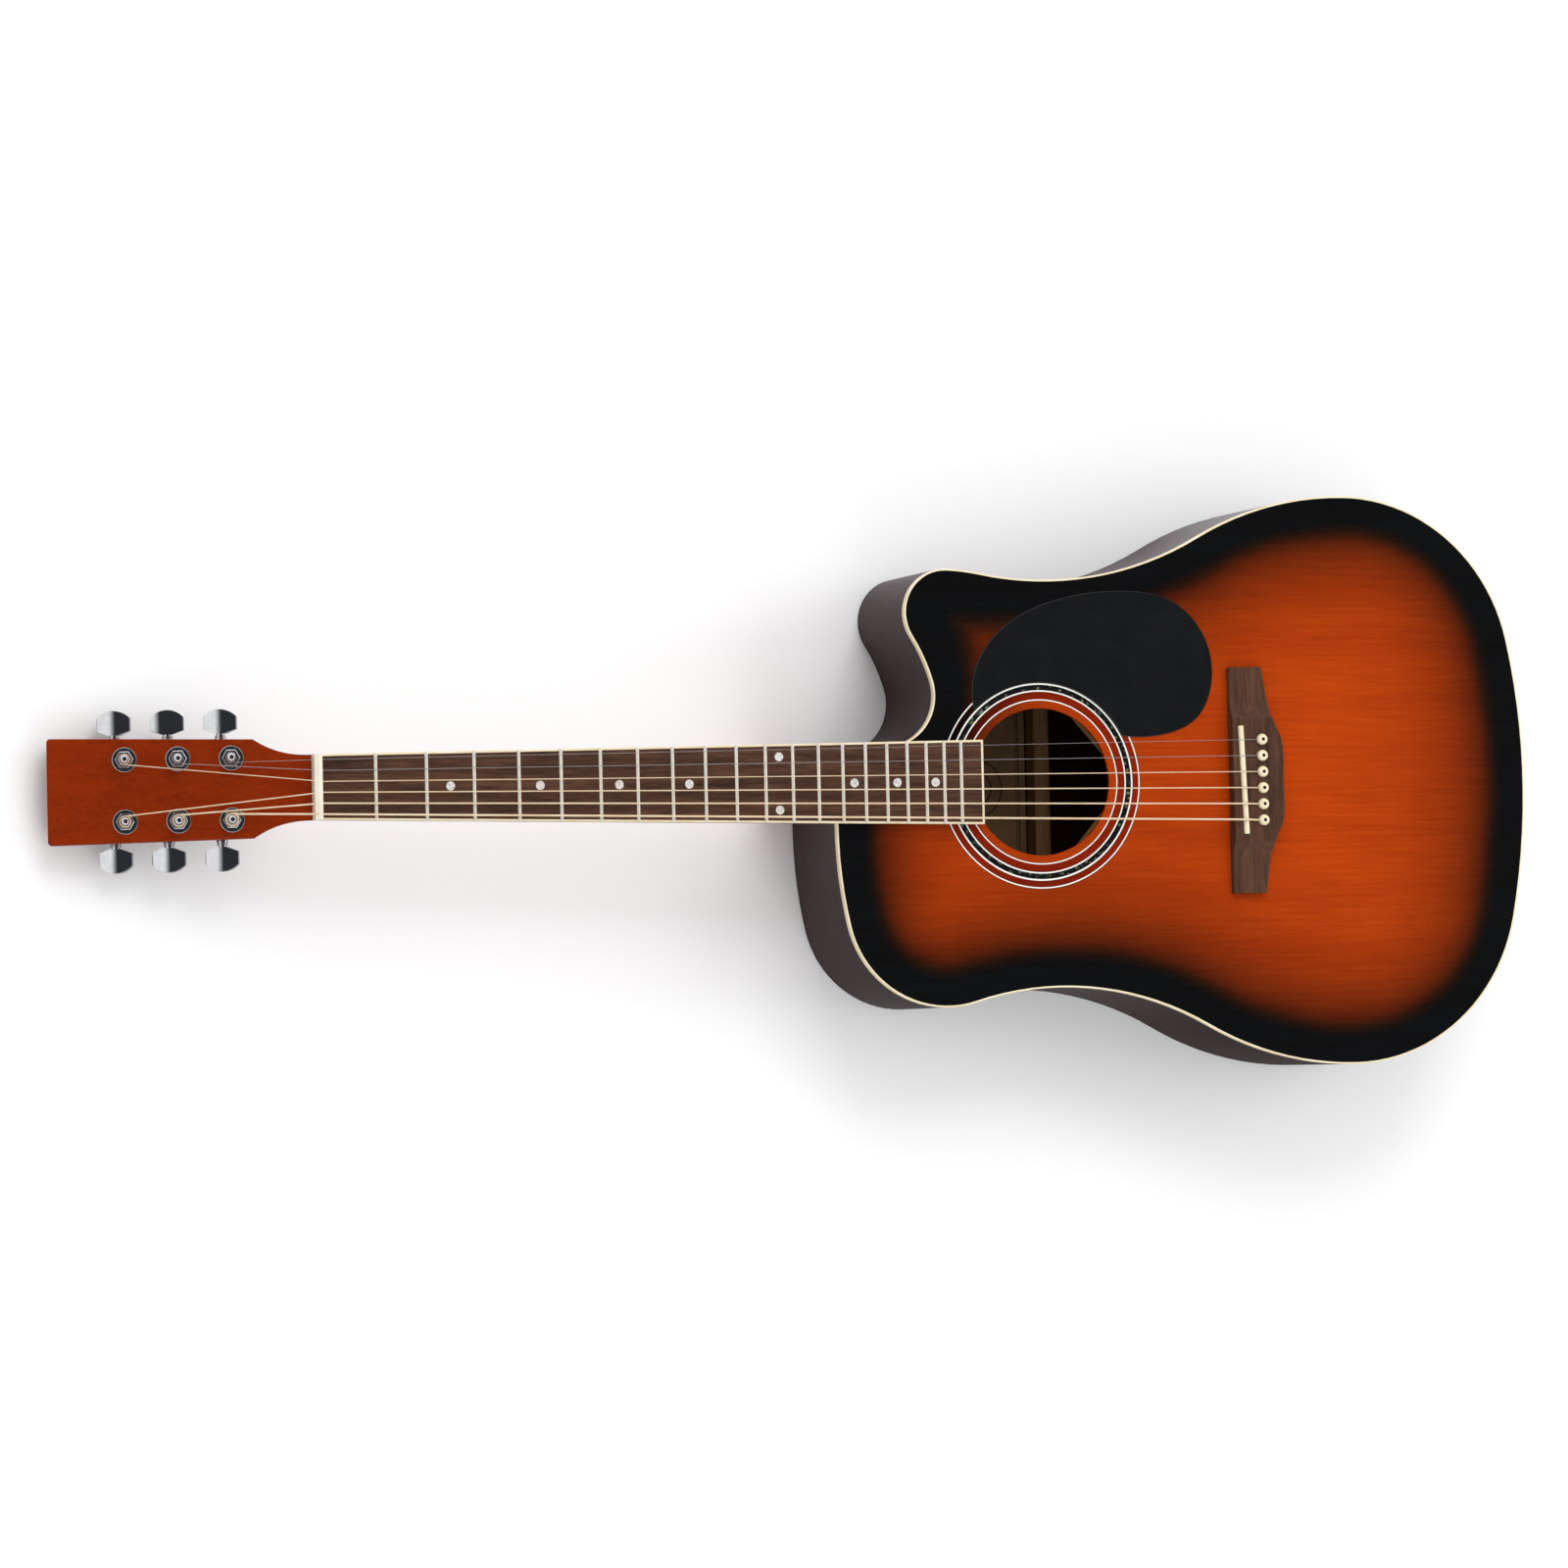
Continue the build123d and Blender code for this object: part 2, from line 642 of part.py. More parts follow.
heel_depth = FRONT_DEPTH / taper_cos - HEEL_CLEARANCE
SHAFT_SECTIONS = (  # distance from the nut, depth
    (-NUT_THICKNESS, NECK_DEPTH_NUT),
    (120.0, 16.0),
    (240.0, 17.0),
    (BODY_FRONT, NECK_DEPTH_HEEL),
)
HEEL_SECTIONS = (  # depth, half width, length
    (5.0, 26.0, 84.0),
    (15.0, 25.0, 54.0),
    (26.0, 22.5, 38.0),
    (42.0, 18.5, 29.0),
    (62.0, 15.5, 25.0),
    (heel_depth, 13.0, 23.0),
)

neck_half = fretboard_half(-NUT_THICKNESS)
with BuildSketch(head) as head_outline:
    with BuildLine():
        lead_in = Polyline((0, 0), (0, neck_half), (HEAD_FLARE_START, neck_half))
        flare = TangentArc(lead_in @ 1, (HEAD_SHOULDER, HEAD_HALF_SHOULDER), tangent=(1, 0))
        Polyline(flare @ 1, (HEAD_LENGTH, HEAD_HALF_END), (HEAD_LENGTH, 0), (0, 0))
    make_face()
    mirror(about=Plane.XZ)
    fillet(head_outline.vertices().group_by(Axis.X)[-1], radius=CORNER)

# ---------------------------------------------------------------- tuners
# One tuner is drawn on the head's face: x to the head's tip, z along the post, its button to -y.
BUSH_RADIUS = 3.9
BUSH_BOTTOM = -9.0
WASHER_RADIUS = 8.1
WASHER_THICKNESS = 0.9
WASHER_ROUNDING = 0.5
HEX_FLATS = 10.4
HEX_TOP = 4.3
HEX_CHAMFER = 0.5
BOSS_RADIUS = 5.0  # the housing's tube, and the hole through the head
BOSS_TOP = -5.0
POST_TOP = 13.5
POST_ROUNDING = 2.4
POST_STEP = -17.65  # where the post gets thinner for its gear
POST_STUB = 1.9
POST_BOTTOM = -22.5
STRING_HOLE = 0.9
STRING_HOLE_RISE = 3.2  # from the string's first wrap to its hole
HOUSING_DEPTH = 10.5
HOUSING_X = (-7.0, 10.7)
HOUSING_HALF = 8.5
HOUSING_CORNER = 4.0
HOUSING_ROUNDING = 1.2
COVER_RADIUS = 6.2
COVER_THICKNESS = 1.0
GEAR_ROOM = 5.35
NOSE_RADIUS = 3.85
NOSE_END = 14.3  # just past the head's edge
SHAFT_RADIUS = 2.7
WORM_LENGTH = 7.2
INNER_JOURNAL = 1.5
INNER_END = -7.0
COLLAR_RADIUS = 3.5
COLLAR_LENGTH = 1.4
COLLAR_GAP = 0.2
COLLAR_ROUNDING = 0.4
BUTTON_START = 16.8
SHAFT_STUB = 1.9
SHAFT_STUB_END = 27.0
SCREW_PLACE = (-2.5, 11.2)
EAR_RADIUS = 3.2
EAR_THICKNESS = 2.4
SCREW_HEAD = 2.2
SCREW_HEAD_HEIGHT = 1.3
SCREW_ROUNDING = 0.8
SCREW_SHANK = 1.2
SCREW_LENGTH = 8.0
SCREW_RECESS = (2.4, 0.6, 0.8)  # length, width and depth of the cross in its head
TOOTH_TIP = 0.45
TOOTH_BASE = 0.95
THREAD_TIP = 0.55
THREAD_BASE = 0.95
THREAD_TURNS = 3
THREAD_SINK = 0.2  # how deep its foot sits in the shaft

head_back = -HEAD_THICKNESS
housing_floor = head_back - HOUSING_DEPTH
worm_line = Plane(origin=(WORM_OFFSET, 0, -WORM_DEPTH), x_dir=(-1, 0, 0), z_dir=(0, -1, 0))
mesh_radius = (GEAR_TIP + WORM_OFFSET - WORM_TIP) / 2  # where teeth and thread meet
worm_pitch = 2 * pi * mesh_radius / GEAR_TEETH
lead_angle = degrees(atan(worm_pitch / (2 * pi * (WORM_OFFSET - mesh_radius))))


with BuildPart() as bushing:
    round_bar(BUSH_RADIUS, BUSH_BOTTOM, WASHER_THICKNESS)
    with BuildSketch(Plane.XY.offset(WASHER_THICKNESS)):
        RegularPolygon(radius=HEX_FLATS / 2, side_count=6, major_radius=False)
    extrude(amount=HEX_TOP - WASHER_THICKNESS)
    chamfer(bushing.faces().sort_by(Axis.Z)[-1].edges(), HEX_CHAMFER)
    round_bar(POST_RADIUS + RUNNING, BUSH_BOTTOM, HEX_TOP, mode=Mode.SUBTRACT)

with BuildPart() as washer:
    round_bar(WASHER_RADIUS, 0, WASHER_THICKNESS)
    round_bar(BUSH_RADIUS, 0, WASHER_THICKNESS, mode=Mode.SUBTRACT)
    fillet(washer.edges().group_by(Axis.Z)[-1].sort_by(SortBy.RADIUS)[-1], WASHER_ROUNDING)

with BuildPart() as post:
    round_bar(POST_RADIUS, POST_STEP, POST_TOP)
    fillet(post.edges().group_by(Axis.Z)[-1], POST_ROUNDING)
    round_bar(POST_STUB, POST_BOTTOM, POST_STEP)
    with Locations((0, 0, WRAP_HEIGHT + STRING_HOLE_RISE)):
        Cylinder(STRING_HOLE, POST_RADIUS * 3, rotation=(0, 90, 0), mode=Mode.SUBTRACT)

with BuildPart() as tooth:
    with BuildSketch(Plane.XY):
        with BuildLine():
            Polyline(
                (POST_STUB + 1, -TOOTH_BASE / 2),
                (GEAR_ROOT, -TOOTH_BASE / 2),
                (GEAR_TIP, -TOOTH_TIP / 2),
                (GEAR_TIP, TOOTH_TIP / 2),
                (GEAR_ROOT, TOOTH_BASE / 2),
                (POST_STUB + 1, TOOTH_BASE / 2),
                close=True,
            )
        make_face()
    extrude(amount=GEAR_THICKNESS, both=True)

with BuildPart() as toothed_wheel:
    Cylinder(GEAR_ROOT, GEAR_THICKNESS)
    with PolarLocations(0, GEAR_TEETH):
        add(tooth.part, rotation=(-lead_angle, 0, 0))
    Cylinder(GEAR_TIP, GEAR_THICKNESS, mode=Mode.INTERSECT)
    Cylinder(POST_STUB, GEAR_THICKNESS, mode=Mode.SUBTRACT)

with BuildPart() as post_gear:
    with Locations((0, 0, -WORM_DEPTH)):
        add(toothed_wheel.part)

# The worm shaft and the button are drawn on their own line: z out to the button, x to the post.
with BuildPart() as worm_shaft:
    round_bar(INNER_JOURNAL, INNER_END, -WORM_LENGTH / 2)
    round_bar(WORM_ROOT, -WORM_LENGTH / 2, WORM_LENGTH / 2)
    round_bar(SHAFT_RADIUS, WORM_LENGTH / 2, BUTTON_START)
    collar_start = NOSE_END + COLLAR_GAP
    round_bar(COLLAR_RADIUS, collar_start, collar_start + COLLAR_LENGTH)
    collar_rims = worm_shaft.edges().filter_by(GeomType.CIRCLE).sort_by(SortBy.RADIUS)[-2:]
    fillet(collar_rims, COLLAR_ROUNDING)
    round_bar(SHAFT_STUB, BUTTON_START, SHAFT_STUB_END)
    thread_start = -worm_pitch * THREAD_TURNS / 2
    with BuildLine():
        helix = Helix(worm_pitch, worm_pitch * THREAD_TURNS, WORM_ROOT, center=(0, 0, thread_start))
    with BuildSketch(Plane(origin=helix @ 0, x_dir=(1, 0, 0), z_dir=(0, -1, 0))):
        with BuildLine():
            Polyline(
                (-THREAD_SINK, -THREAD_BASE / 2),
                (WORM_TIP - WORM_ROOT, -THREAD_TIP / 2),
                (WORM_TIP - WORM_ROOT, THREAD_TIP / 2),
                (-THREAD_SINK, THREAD_BASE / 2),
                close=True,
            )
        make_face()
    sweep(path=helix, is_frenet=True)

with BuildPart() as button:
    with BuildSketch(Plane.XZ):
        with BuildLine():
            half_button = BUTTON_WIDTH / 2
            crown_corner = (half_button, BUTTON_START + BUTTON_CORNER)
            crown_point = (BUTTON_CROWN_POINT[0], BUTTON_START + BUTTON_CROWN_POINT[1])
            crown_top = (0, BUTTON_START + BUTTON_LENGTH)
            Polyline(
                (0, BUTTON_START),
                (BUTTON_NECK / 2, BUTTON_START),
                (half_button, BUTTON_START + BUTTON_SHOULDER),
                crown_corner,
            )
            ThreePointArc(crown_corner, crown_point, crown_top)
            Line(crown_top, (0, BUTTON_START))
        make_face()
        mirror(about=Plane.YZ)
    extrude(amount=BUTTON_THICKNESS / 2, both=True)
    with BuildSketch(Plane.XY.offset(BUTTON_START)):
        with BuildLine():
            rim_start = (half_button, BUTTON_RIM / 2)
            rim_end = (-half_button, BUTTON_RIM / 2)
            ThreePointArc(rim_start, (0, BUTTON_THICKNESS / 2), rim_end)
            Polyline(rim_end, (-half_button, 0), (half_button, 0), rim_start)
        make_face()
        mirror(about=Plane.XZ)
    extrude(amount=BUTTON_LENGTH, mode=Mode.INTERSECT)
    round_bar(SHAFT_STUB, BUTTON_START, SHAFT_STUB_END, mode=Mode.SUBTRACT)

screw_seat = head_back - EAR_THICKNESS
screw_end = screw_seat - SCREW_HEAD_HEIGHT
recess_length, recess_width, recess_depth = SCREW_RECESS
with BuildPart() as screw:
    with Locations(SCREW_PLACE):
        round_bar(SCREW_HEAD, screw_end, screw_seat)
    fillet(screw.edges().group_by(Axis.Z)[0], SCREW_ROUNDING)
    with BuildSketch(Plane.XY.offset(screw_end)):
        with Locations(SCREW_PLACE):
            Rectangle(recess_length, recess_width)
            Rectangle(recess_width, recess_length)
    extrude(amount=recess_depth, mode=Mode.SUBTRACT)
    with Locations(SCREW_PLACE):
        round_bar(SCREW_SHANK, screw_seat, screw_seat + SCREW_LENGTH)

with BuildPart() as cover:
    round_bar(COVER_RADIUS, housing_floor, housing_floor + COVER_THICKNESS)

with BuildPart() as housing:
    with BuildSketch(Plane.XY.offset(head_back)):
        with Locations((sum(HOUSING_X) / 2, 0)):
            RectangleRounded(HOUSING_X[1] - HOUSING_X[0], HOUSING_HALF * 2, HOUSING_CORNER)
    extrude(amount=-HOUSING_DEPTH)
    fillet(housing.edges().group_by(Axis.Z)[0], HOUSING_ROUNDING)
    with Locations(SCREW_PLACE):
        round_bar(EAR_RADIUS, screw_seat, head_back)
    round_bar(BOSS_RADIUS, head_back, BOSS_TOP)
    with Locations(worm_line):
        round_bar(NOSE_RADIUS, 0, NOSE_END)
        round_bar(SHAFT_RADIUS + RUNNING, WORM_LENGTH / 2, NOSE_END, mode=Mode.SUBTRACT)
        round_bar(SHAFT_RADIUS + RUNNING, -WORM_LENGTH / 2 - RUNNING, WORM_LENGTH / 2, mode=Mode.SUBTRACT)
        round_bar(INNER_JOURNAL + RUNNING, INNER_END - RUNNING, 0, mode=Mode.SUBTRACT)
    round_bar(POST_RADIUS + RUNNING, POST_STEP, BUSH_BOTTOM, mode=Mode.SUBTRACT)
    round_bar(BUSH_RADIUS, BUSH_BOTTOM, BOSS_TOP, mode=Mode.SUBTRACT)
    round_bar(GEAR_ROOM, housing_floor + COVER_THICKNESS, POST_STEP + RUNNING, mode=Mode.SUBTRACT)
    add(cover.part, mode=Mode.SUBTRACT)
    with Locations(SCREW_PLACE):
        round_bar(SCREW_SHANK, screw_seat, head_back, mode=Mode.SUBTRACT)


def tuner_set(master, name):
    """Put one fixed tuner part at all six posts, mirrored on the bass side, and save the group."""
    with BuildPart() as bass_master:
        mirror(master.part, about=Plane.XZ)
    with BuildPart() as group:
        for string in STRINGS:
            with Locations(post_plane(string)):
                add(master.part if STRING_SIDE[string] == TREBLE else bass_master.part)
    save(group, name)
    return group


def placed(master, plane, name, turn=0):
    """Put a master part on a plane, turned about the plane's normal, and save it."""
    with BuildPart() as piece:
        with Locations(plane):
            add(master.part, rotation=(0, 0, turn))
    save(piece, name)


tuner_set(housing, "tuner_housings")
tuner_set(cover, "tuner_covers")
tuner_set(bushing, "tuner_bushings")
tuner_set(washer, "tuner_washers")
tuner_screws = tuner_set(screw, "tuner_screws")
for string in STRINGS:
    placed(post, post_plane(string), f"string_post_{string}")
    placed(post_gear, post_plane(string), f"post_gear_{string}")
    placed(worm_shaft, worm_plane(string), f"worm_shaft_{string}")
    lean = -STRING_SIDE[string] * BUTTON_LEAN[string]
    placed(button, worm_plane(string), f"tuner_button_{string}", turn=lean)


def is_head_rim(edge):
    """True for an edge round the head's front or back face, past its shoulders."""
    middle = head.to_local_coords(edge.center())
    level = min(abs(middle.Z), abs(middle.Z + HEAD_THICKNESS))
    return level < TOLERANCE and middle.X > HEAD_SHOULDER + TOLERANCE


with BuildPart() as headstock:
    blend_start = Plane(
        origin=top.from_local_coords((-NUT_THICKNESS, 0, -BLEND_SINK)),
        x_dir=(0, 1, 0),
        z_dir=top.x_dir,
    )
    blend_end = Plane(
        origin=head.from_local_coords((SLAB_START + BLEND_OVERLAP, 0, -BLEND_SINK)),
        x_dir=(0, 1, 0),
        z_dir=-head.x_dir,
    )
    loft(
        sections=[
            half_round(blend_start, neck_half - BLEND_INSET, NECK_DEPTH_NUT - BLEND_SINK, NECK_ROUND),
            half_round(blend_end, HEAD_HALF_SHOULDER, HEAD_THICKNESS - BLEND_SINK, HEAD_SQUARE),
        ]
    )
    with BuildSketch(head):
        add(head_outline.sketch_local)
        with Locations((-SLAB_START / 2, 0)):
            Rectangle(SLAB_START, NUT_WIDTH * 2)
    extrude(amount=-2 * SLAB_START, mode=Mode.INTERSECT)
    split(bisect_by=Plane.XZ, keep=Keep.BOTTOM)
    mirror(about=Plane.XZ)
    with BuildSketch(head):
        add(head_outline.sketch_local)
    extrude(amount=-FACE_SLAB)
    with BuildSketch(head):
        add(head_outline.sketch_local)
        with Locations((SLAB_START / 2, 0)):
            Rectangle(SLAB_START, NUT_WIDTH * 2, mode=Mode.SUBTRACT)
    extrude(amount=-HEAD_THICKNESS)
    outer_edges = headstock.edges().filter_by(is_head_rim)
    fillet(outer_edges, radius=HEAD_ROUNDING)

with BuildPart() as neck:
    loft(
        sections=[
            half_round(across(x), fretboard_half(x), depth, NECK_ROUND) for x, depth in SHAFT_SECTIONS
        ]
    )
    loft(
        sections=[
            half_round(heel_plane(depth), half_width, length, NECK_ROUND)
            for depth, half_width, length in HEEL_SECTIONS
        ]
    )
    add(headstock.part)
    add(tenon.part)
    add(rod_channel.part, mode=Mode.SUBTRACT)
    for string in STRINGS:
        with Locations(post_plane(string)):
            round_bar(BOSS_RADIUS, -HEAD_THICKNESS * 2, HEAD_THICKNESS, mode=Mode.SUBTRACT)
    add(tuner_screws.part, mode=Mode.SUBTRACT)
save(neck, "neck")

# ---------------------------------------------------------------- truss rod
with BuildPart() as truss_rod:
    add(rod_channel.part)
    with Locations(across(ROD_END)):
        with Locations((0, ROD_HEIGHT, 0)):
            round_bar(ROD_THREAD, -ROD_THREAD, ROD_THREAD_LENGTH)
save(truss_rod, "truss_rod")

with BuildPart() as truss_rod_nut:
    with Locations(across(ROD_END)):
        with Locations((0, ROD_HEIGHT, 0)):
            round_bar(ROD_NUT_RADIUS, RUNNING, ROD_NUT_LENGTH)
            round_bar(ROD_THREAD + RUNNING, 0, ROD_THREAD_LENGTH + 2 * RUNNING, mode=Mode.SUBTRACT)
    with BuildSketch(across(ROD_END + ROD_NUT_LENGTH)):
        with Locations((0, ROD_HEIGHT)):
            RegularPolygon(radius=ROD_KEY_FLATS / 2, side_count=6, major_radius=False)
    extrude(amount=-ROD_KEY_DEPTH, mode=Mode.SUBTRACT)
save(truss_rod_nut, "truss_rod_nut")

# ---------------------------------------------------------------- fretboard, frets and nut
DOT_RADIUS = 3.0
DOT_THICKNESS = 1.5
SIDE_DOT_RADIUS = 1.0
DOT_FRETS = (3, 5, 7, 9, 12, 15, 17, 19)
DOUBLE_DOT_FRET = 12
DOUBLE_DOT_OFFSET = 17.8
DOUBLE_SIDE_DOT_OFFSET = 4.0
FRET_END_GAP = 0.2
TANG_END_GAP = 0.3
NUT_TOP = 8.8
NUT_BACK_DROP = 1.8  # its top falls this much towards the head
NUT_FLAT = 0.45  # share of its thickness that stays level

with BuildPart() as frets:
    for number in range(1, FRET_COUNT + 1):
        x = fret_x(number)
        half = fretboard_half(x)
        foot = FRETBOARD_THICKNESS
        with BuildSketch(along(0)):
            with BuildLine():
                base = Line((x - FRET_WIDTH / 2, foot), (x + FRET_WIDTH / 2, foot))
                ThreePointArc(base @ 1, (x, foot + FRET_HEIGHT), base @ 0)
            make_face()
        extrude(amount=half - FRET_END_GAP, both=True)
        with BuildSketch(along(0)):
            with Locations((x, FRETBOARD_THICKNESS - TANG_DEPTH / 2)):
                Rectangle(TANG_WIDTH, TANG_DEPTH)
        extrude(amount=half - FRETBOARD_BINDING - TANG_END_GAP, both=True)
save(frets, "frets")

with BuildPart(top.offset(FRETBOARD_THICKNESS - DOT_THICKNESS)) as position_dots:
    for number in DOT_FRETS:
        dot_x = (fret_x(number - 1) + fret_x(number)) / 2
        offsets = (-DOUBLE_DOT_OFFSET, DOUBLE_DOT_OFFSET) if number == DOUBLE_DOT_FRET else (0,)
        for dot_y in offsets:
            with Locations((dot_x, dot_y, 0)):
                Cylinder(DOT_RADIUS, DOT_THICKNESS, align=UPWARD)
save(position_dots, "position_dots")

with BuildPart() as side_dots:
    for number in DOT_FRETS:
        dot_x = (fret_x(number - 1) + fret_x(number)) / 2
        spots = (-DOUBLE_SIDE_DOT_OFFSET, DOUBLE_SIDE_DOT_OFFSET) if number == DOUBLE_DOT_FRET else (0,)
        for spot_x in (dot_x + spot for spot in spots):
            with Locations(along(-fretboard_half(spot_x))):
                with Locations((spot_x, FRETBOARD_THICKNESS / 2, -FRETBOARD_BINDING / 2)):
                    Cylinder(SIDE_DOT_RADIUS, FRETBOARD_BINDING / 2, align=UPWARD)
save(side_dots, "side_dots")


def board_plan(inset):
    """Plan of the fretboard on the soundboard's plane, drawn in at its sides and its end."""
    end = FRETBOARD_END - inset
    with BuildSketch(top) as plan:
        with BuildLine():
            near_half = fretboard_half(0) - inset
            far_half = fretboard_half(end) - inset
            Polyline((0, -near_half), (end, -far_half), (end, far_half), (0, near_half), close=True)
        make_face()
    return plan.sketch


with BuildPart() as fretboard:
    extrude(board_plan(FRETBOARD_BINDING), amount=FRETBOARD_THICKNESS)
    add(frets.part, mode=Mode.SUBTRACT)
    add(position_dots.part, mode=Mode.SUBTRACT)
save(fretboard, "fretboard")

with BuildPart() as fretboard_binding:
    extrude(board_plan(0), amount=FRETBOARD_THICKNESS)
    extrude(board_plan(FRETBOARD_BINDING), amount=FRETBOARD_THICKNESS, mode=Mode.SUBTRACT)
    add(side_dots.part, mode=Mode.SUBTRACT)
save(fretboard_binding, "fretboard_binding")

with BuildPart() as nut:
    with BuildSketch(along(0)):
        with BuildLine():
            Polyline(
                (-NUT_THICKNESS, 0),
                (0, 0),
                (0, NUT_TOP),
                (-NUT_THICKNESS * NUT_FLAT, NUT_TOP),
                (-NUT_THICKNESS, NUT_TOP - NUT_BACK_DROP),
                close=True,
            )
        make_face()
    extrude(amount=NUT_WIDTH / 2, both=True)
    for string in STRINGS:
        add(string_rooms[string], mode=Mode.SUBTRACT)
save(nut, "nut")

# ---------------------------------------------------------------- bridge, saddle and pins
SADDLE_SLOT_DEPTH = 5.0
PIN_HEAD = 3.75
PIN_HEAD_HEIGHT = 3.2
PIN_HEAD_ROUNDING = 2.2
PIN_DOT = 1.2
PIN_DOT_DEPTH = 0.8

with BuildPart() as saddle:
    with BuildSketch(top.offset(BRIDGE_HEIGHT - SADDLE_SLOT_DEPTH)):
        with Locations(Location((SADDLE_X, 0), SADDLE_SLANT)):
            Rectangle(SADDLE_THICKNESS, SADDLE_LENGTH)
    extrude(amount=SADDLE_TOP - BRIDGE_HEIGHT + SADDLE_SLOT_DEPTH)
    fillet(saddle.edges().group_by(top_normal)[-1].sort_by(SortBy.LENGTH)[-2:], SADDLE_CROWN)
save(saddle, "saddle")

with BuildPart() as bridge_pins:
    with Locations(top):
        with Locations(*pin_places):
            round_bar(PIN_SHANK, plate_underside, BRIDGE_HEIGHT)
            round_bar(PIN_HEAD, BRIDGE_HEIGHT, BRIDGE_HEIGHT + PIN_HEAD_HEIGHT)
    fillet(bridge_pins.edges().group_by(top_normal)[-1], PIN_HEAD_ROUNDING)
    with Locations(top):
        with Locations(*pin_places):
            dot_base = BRIDGE_HEIGHT + PIN_HEAD_HEIGHT - PIN_DOT_DEPTH
            round_bar(PIN_DOT, dot_base, dot_base + PIN_DOT_DEPTH, mode=Mode.SUBTRACT)
    for string in STRINGS:
        add(string_rooms[string], mode=Mode.SUBTRACT)
save(bridge_pins, "bridge_pins")

with BuildPart() as pin_dots:
    with Locations(top):
        with Locations(*pin_places):
            round_bar(PIN_DOT, dot_base, dot_base + PIN_DOT_DEPTH)
save(pin_dots, "pin_dots")

with BuildPart() as bridge:
    with BuildSketch(top):
        with BuildLine():
            front_tip = (BRIDGE_FRONT, BRIDGE_LENGTH / 2)
            Polyline((BRIDGE_FRONT, 0), front_tip, (WING_BACK, BRIDGE_LENGTH / 2), WING_ROOT)
            Spline(WING_ROOT, BELLY_POINT, (BRIDGE_BACK, 0), tangents=[(0.2, -1), (0, -1)])
            Line((BRIDGE_BACK, 0), (BRIDGE_FRONT, 0))
        make_face()
        mirror(about=Plane.XZ)
    extrude(amount=BRIDGE_HEIGHT)
    with BuildSketch(across(BRIDGE_FRONT)):
        with BuildLine():
            scoop = ThreePointArc(*((BRIDGE_BLOCK / 2 + out, height) for out, height in WING_SCOOP))
            wing_height = WING_SCOOP[-1][1]
            Polyline(scoop @ 1, (BRIDGE_LENGTH, wing_height), (BRIDGE_LENGTH, BRIDGE_HEIGHT), scoop @ 0)
        make_face()
        mirror(about=Plane.YZ)
    extrude(amount=BRIDGE_LENGTH, mode=Mode.SUBTRACT)
    add(saddle.part, mode=Mode.SUBTRACT)
    add(bridge_pins.part, mode=Mode.SUBTRACT)
    for string in STRINGS:
        add(string_rooms[string], mode=Mode.SUBTRACT)
save(bridge, "bridge")

# ---------------------------------------------------------------- pickguard
GUARD_RADIUS = 67.3  # round the rosette's middle band
GUARD_START = 134.0  # angles on that circle
GUARD_END = 27.5
GUARD_CHAMFER = 0.45
guard_start = Vector(SOUNDHOLE_X, 0) + Vector(GUARD_RADIUS, 0).rotate(Axis.Z, GUARD_START)
guard_end = Vector(SOUNDHOLE_X, 0) + Vector(GUARD_RADIUS, 0).rotate(Axis.Z, GUARD_END)
guard_mid = Vector(SOUNDHOLE_X, 0) + Vector(GUARD_RADIUS, 0).rotate(Axis.Z, (GUARD_START + GUARD_END) / 2)
with BuildPart() as pickguard:
    with BuildSketch(top):
        with BuildLine():
            Spline(
                guard_start,
                (456.5, 66.0),
                (465.0, 88.5),
                (484.6, 108.5),
                (519.3, 123.8),
                (571.0, 130.0),
                (603.6, 123.4),
                (626.9, 99.9),
                (632.7, 71.6),
                (621.0, 43.5),
                (596.0, 31.9),
                guard_end,
            )
            ThreePointArc(guard_end, guard_mid, guard_start)
        make_face()
    extrude(amount=PICKGUARD_THICKNESS)
    chamfer(pickguard.faces().sort_by(top_normal)[-1].edges(), GUARD_CHAMFER)
save(pickguard, "pickguard")
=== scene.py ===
import json
import math

import bmesh
import bpy
from mathutils import Matrix, Vector
from mathutils.kdtree import KDTree


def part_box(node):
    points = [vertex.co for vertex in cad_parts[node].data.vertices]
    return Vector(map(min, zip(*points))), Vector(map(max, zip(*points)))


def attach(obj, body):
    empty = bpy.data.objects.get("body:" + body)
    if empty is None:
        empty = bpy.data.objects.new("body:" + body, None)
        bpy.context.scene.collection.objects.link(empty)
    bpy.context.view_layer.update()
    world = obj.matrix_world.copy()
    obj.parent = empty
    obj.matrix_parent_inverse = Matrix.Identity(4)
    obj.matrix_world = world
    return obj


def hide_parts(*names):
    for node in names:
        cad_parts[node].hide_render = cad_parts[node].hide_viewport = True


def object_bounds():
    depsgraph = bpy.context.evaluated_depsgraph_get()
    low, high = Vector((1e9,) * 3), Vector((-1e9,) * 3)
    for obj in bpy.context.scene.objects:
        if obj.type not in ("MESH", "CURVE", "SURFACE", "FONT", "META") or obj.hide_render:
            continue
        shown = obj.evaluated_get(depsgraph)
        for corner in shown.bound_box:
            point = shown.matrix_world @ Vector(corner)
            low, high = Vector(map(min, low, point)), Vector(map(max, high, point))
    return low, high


# Looks for the right-handed cutaway acoustic guitar. Everything is in metres, in the CAD's row frame:
# +X from the headstock to the tail, +Y to the treble side, +Z up, resting on the flat back.

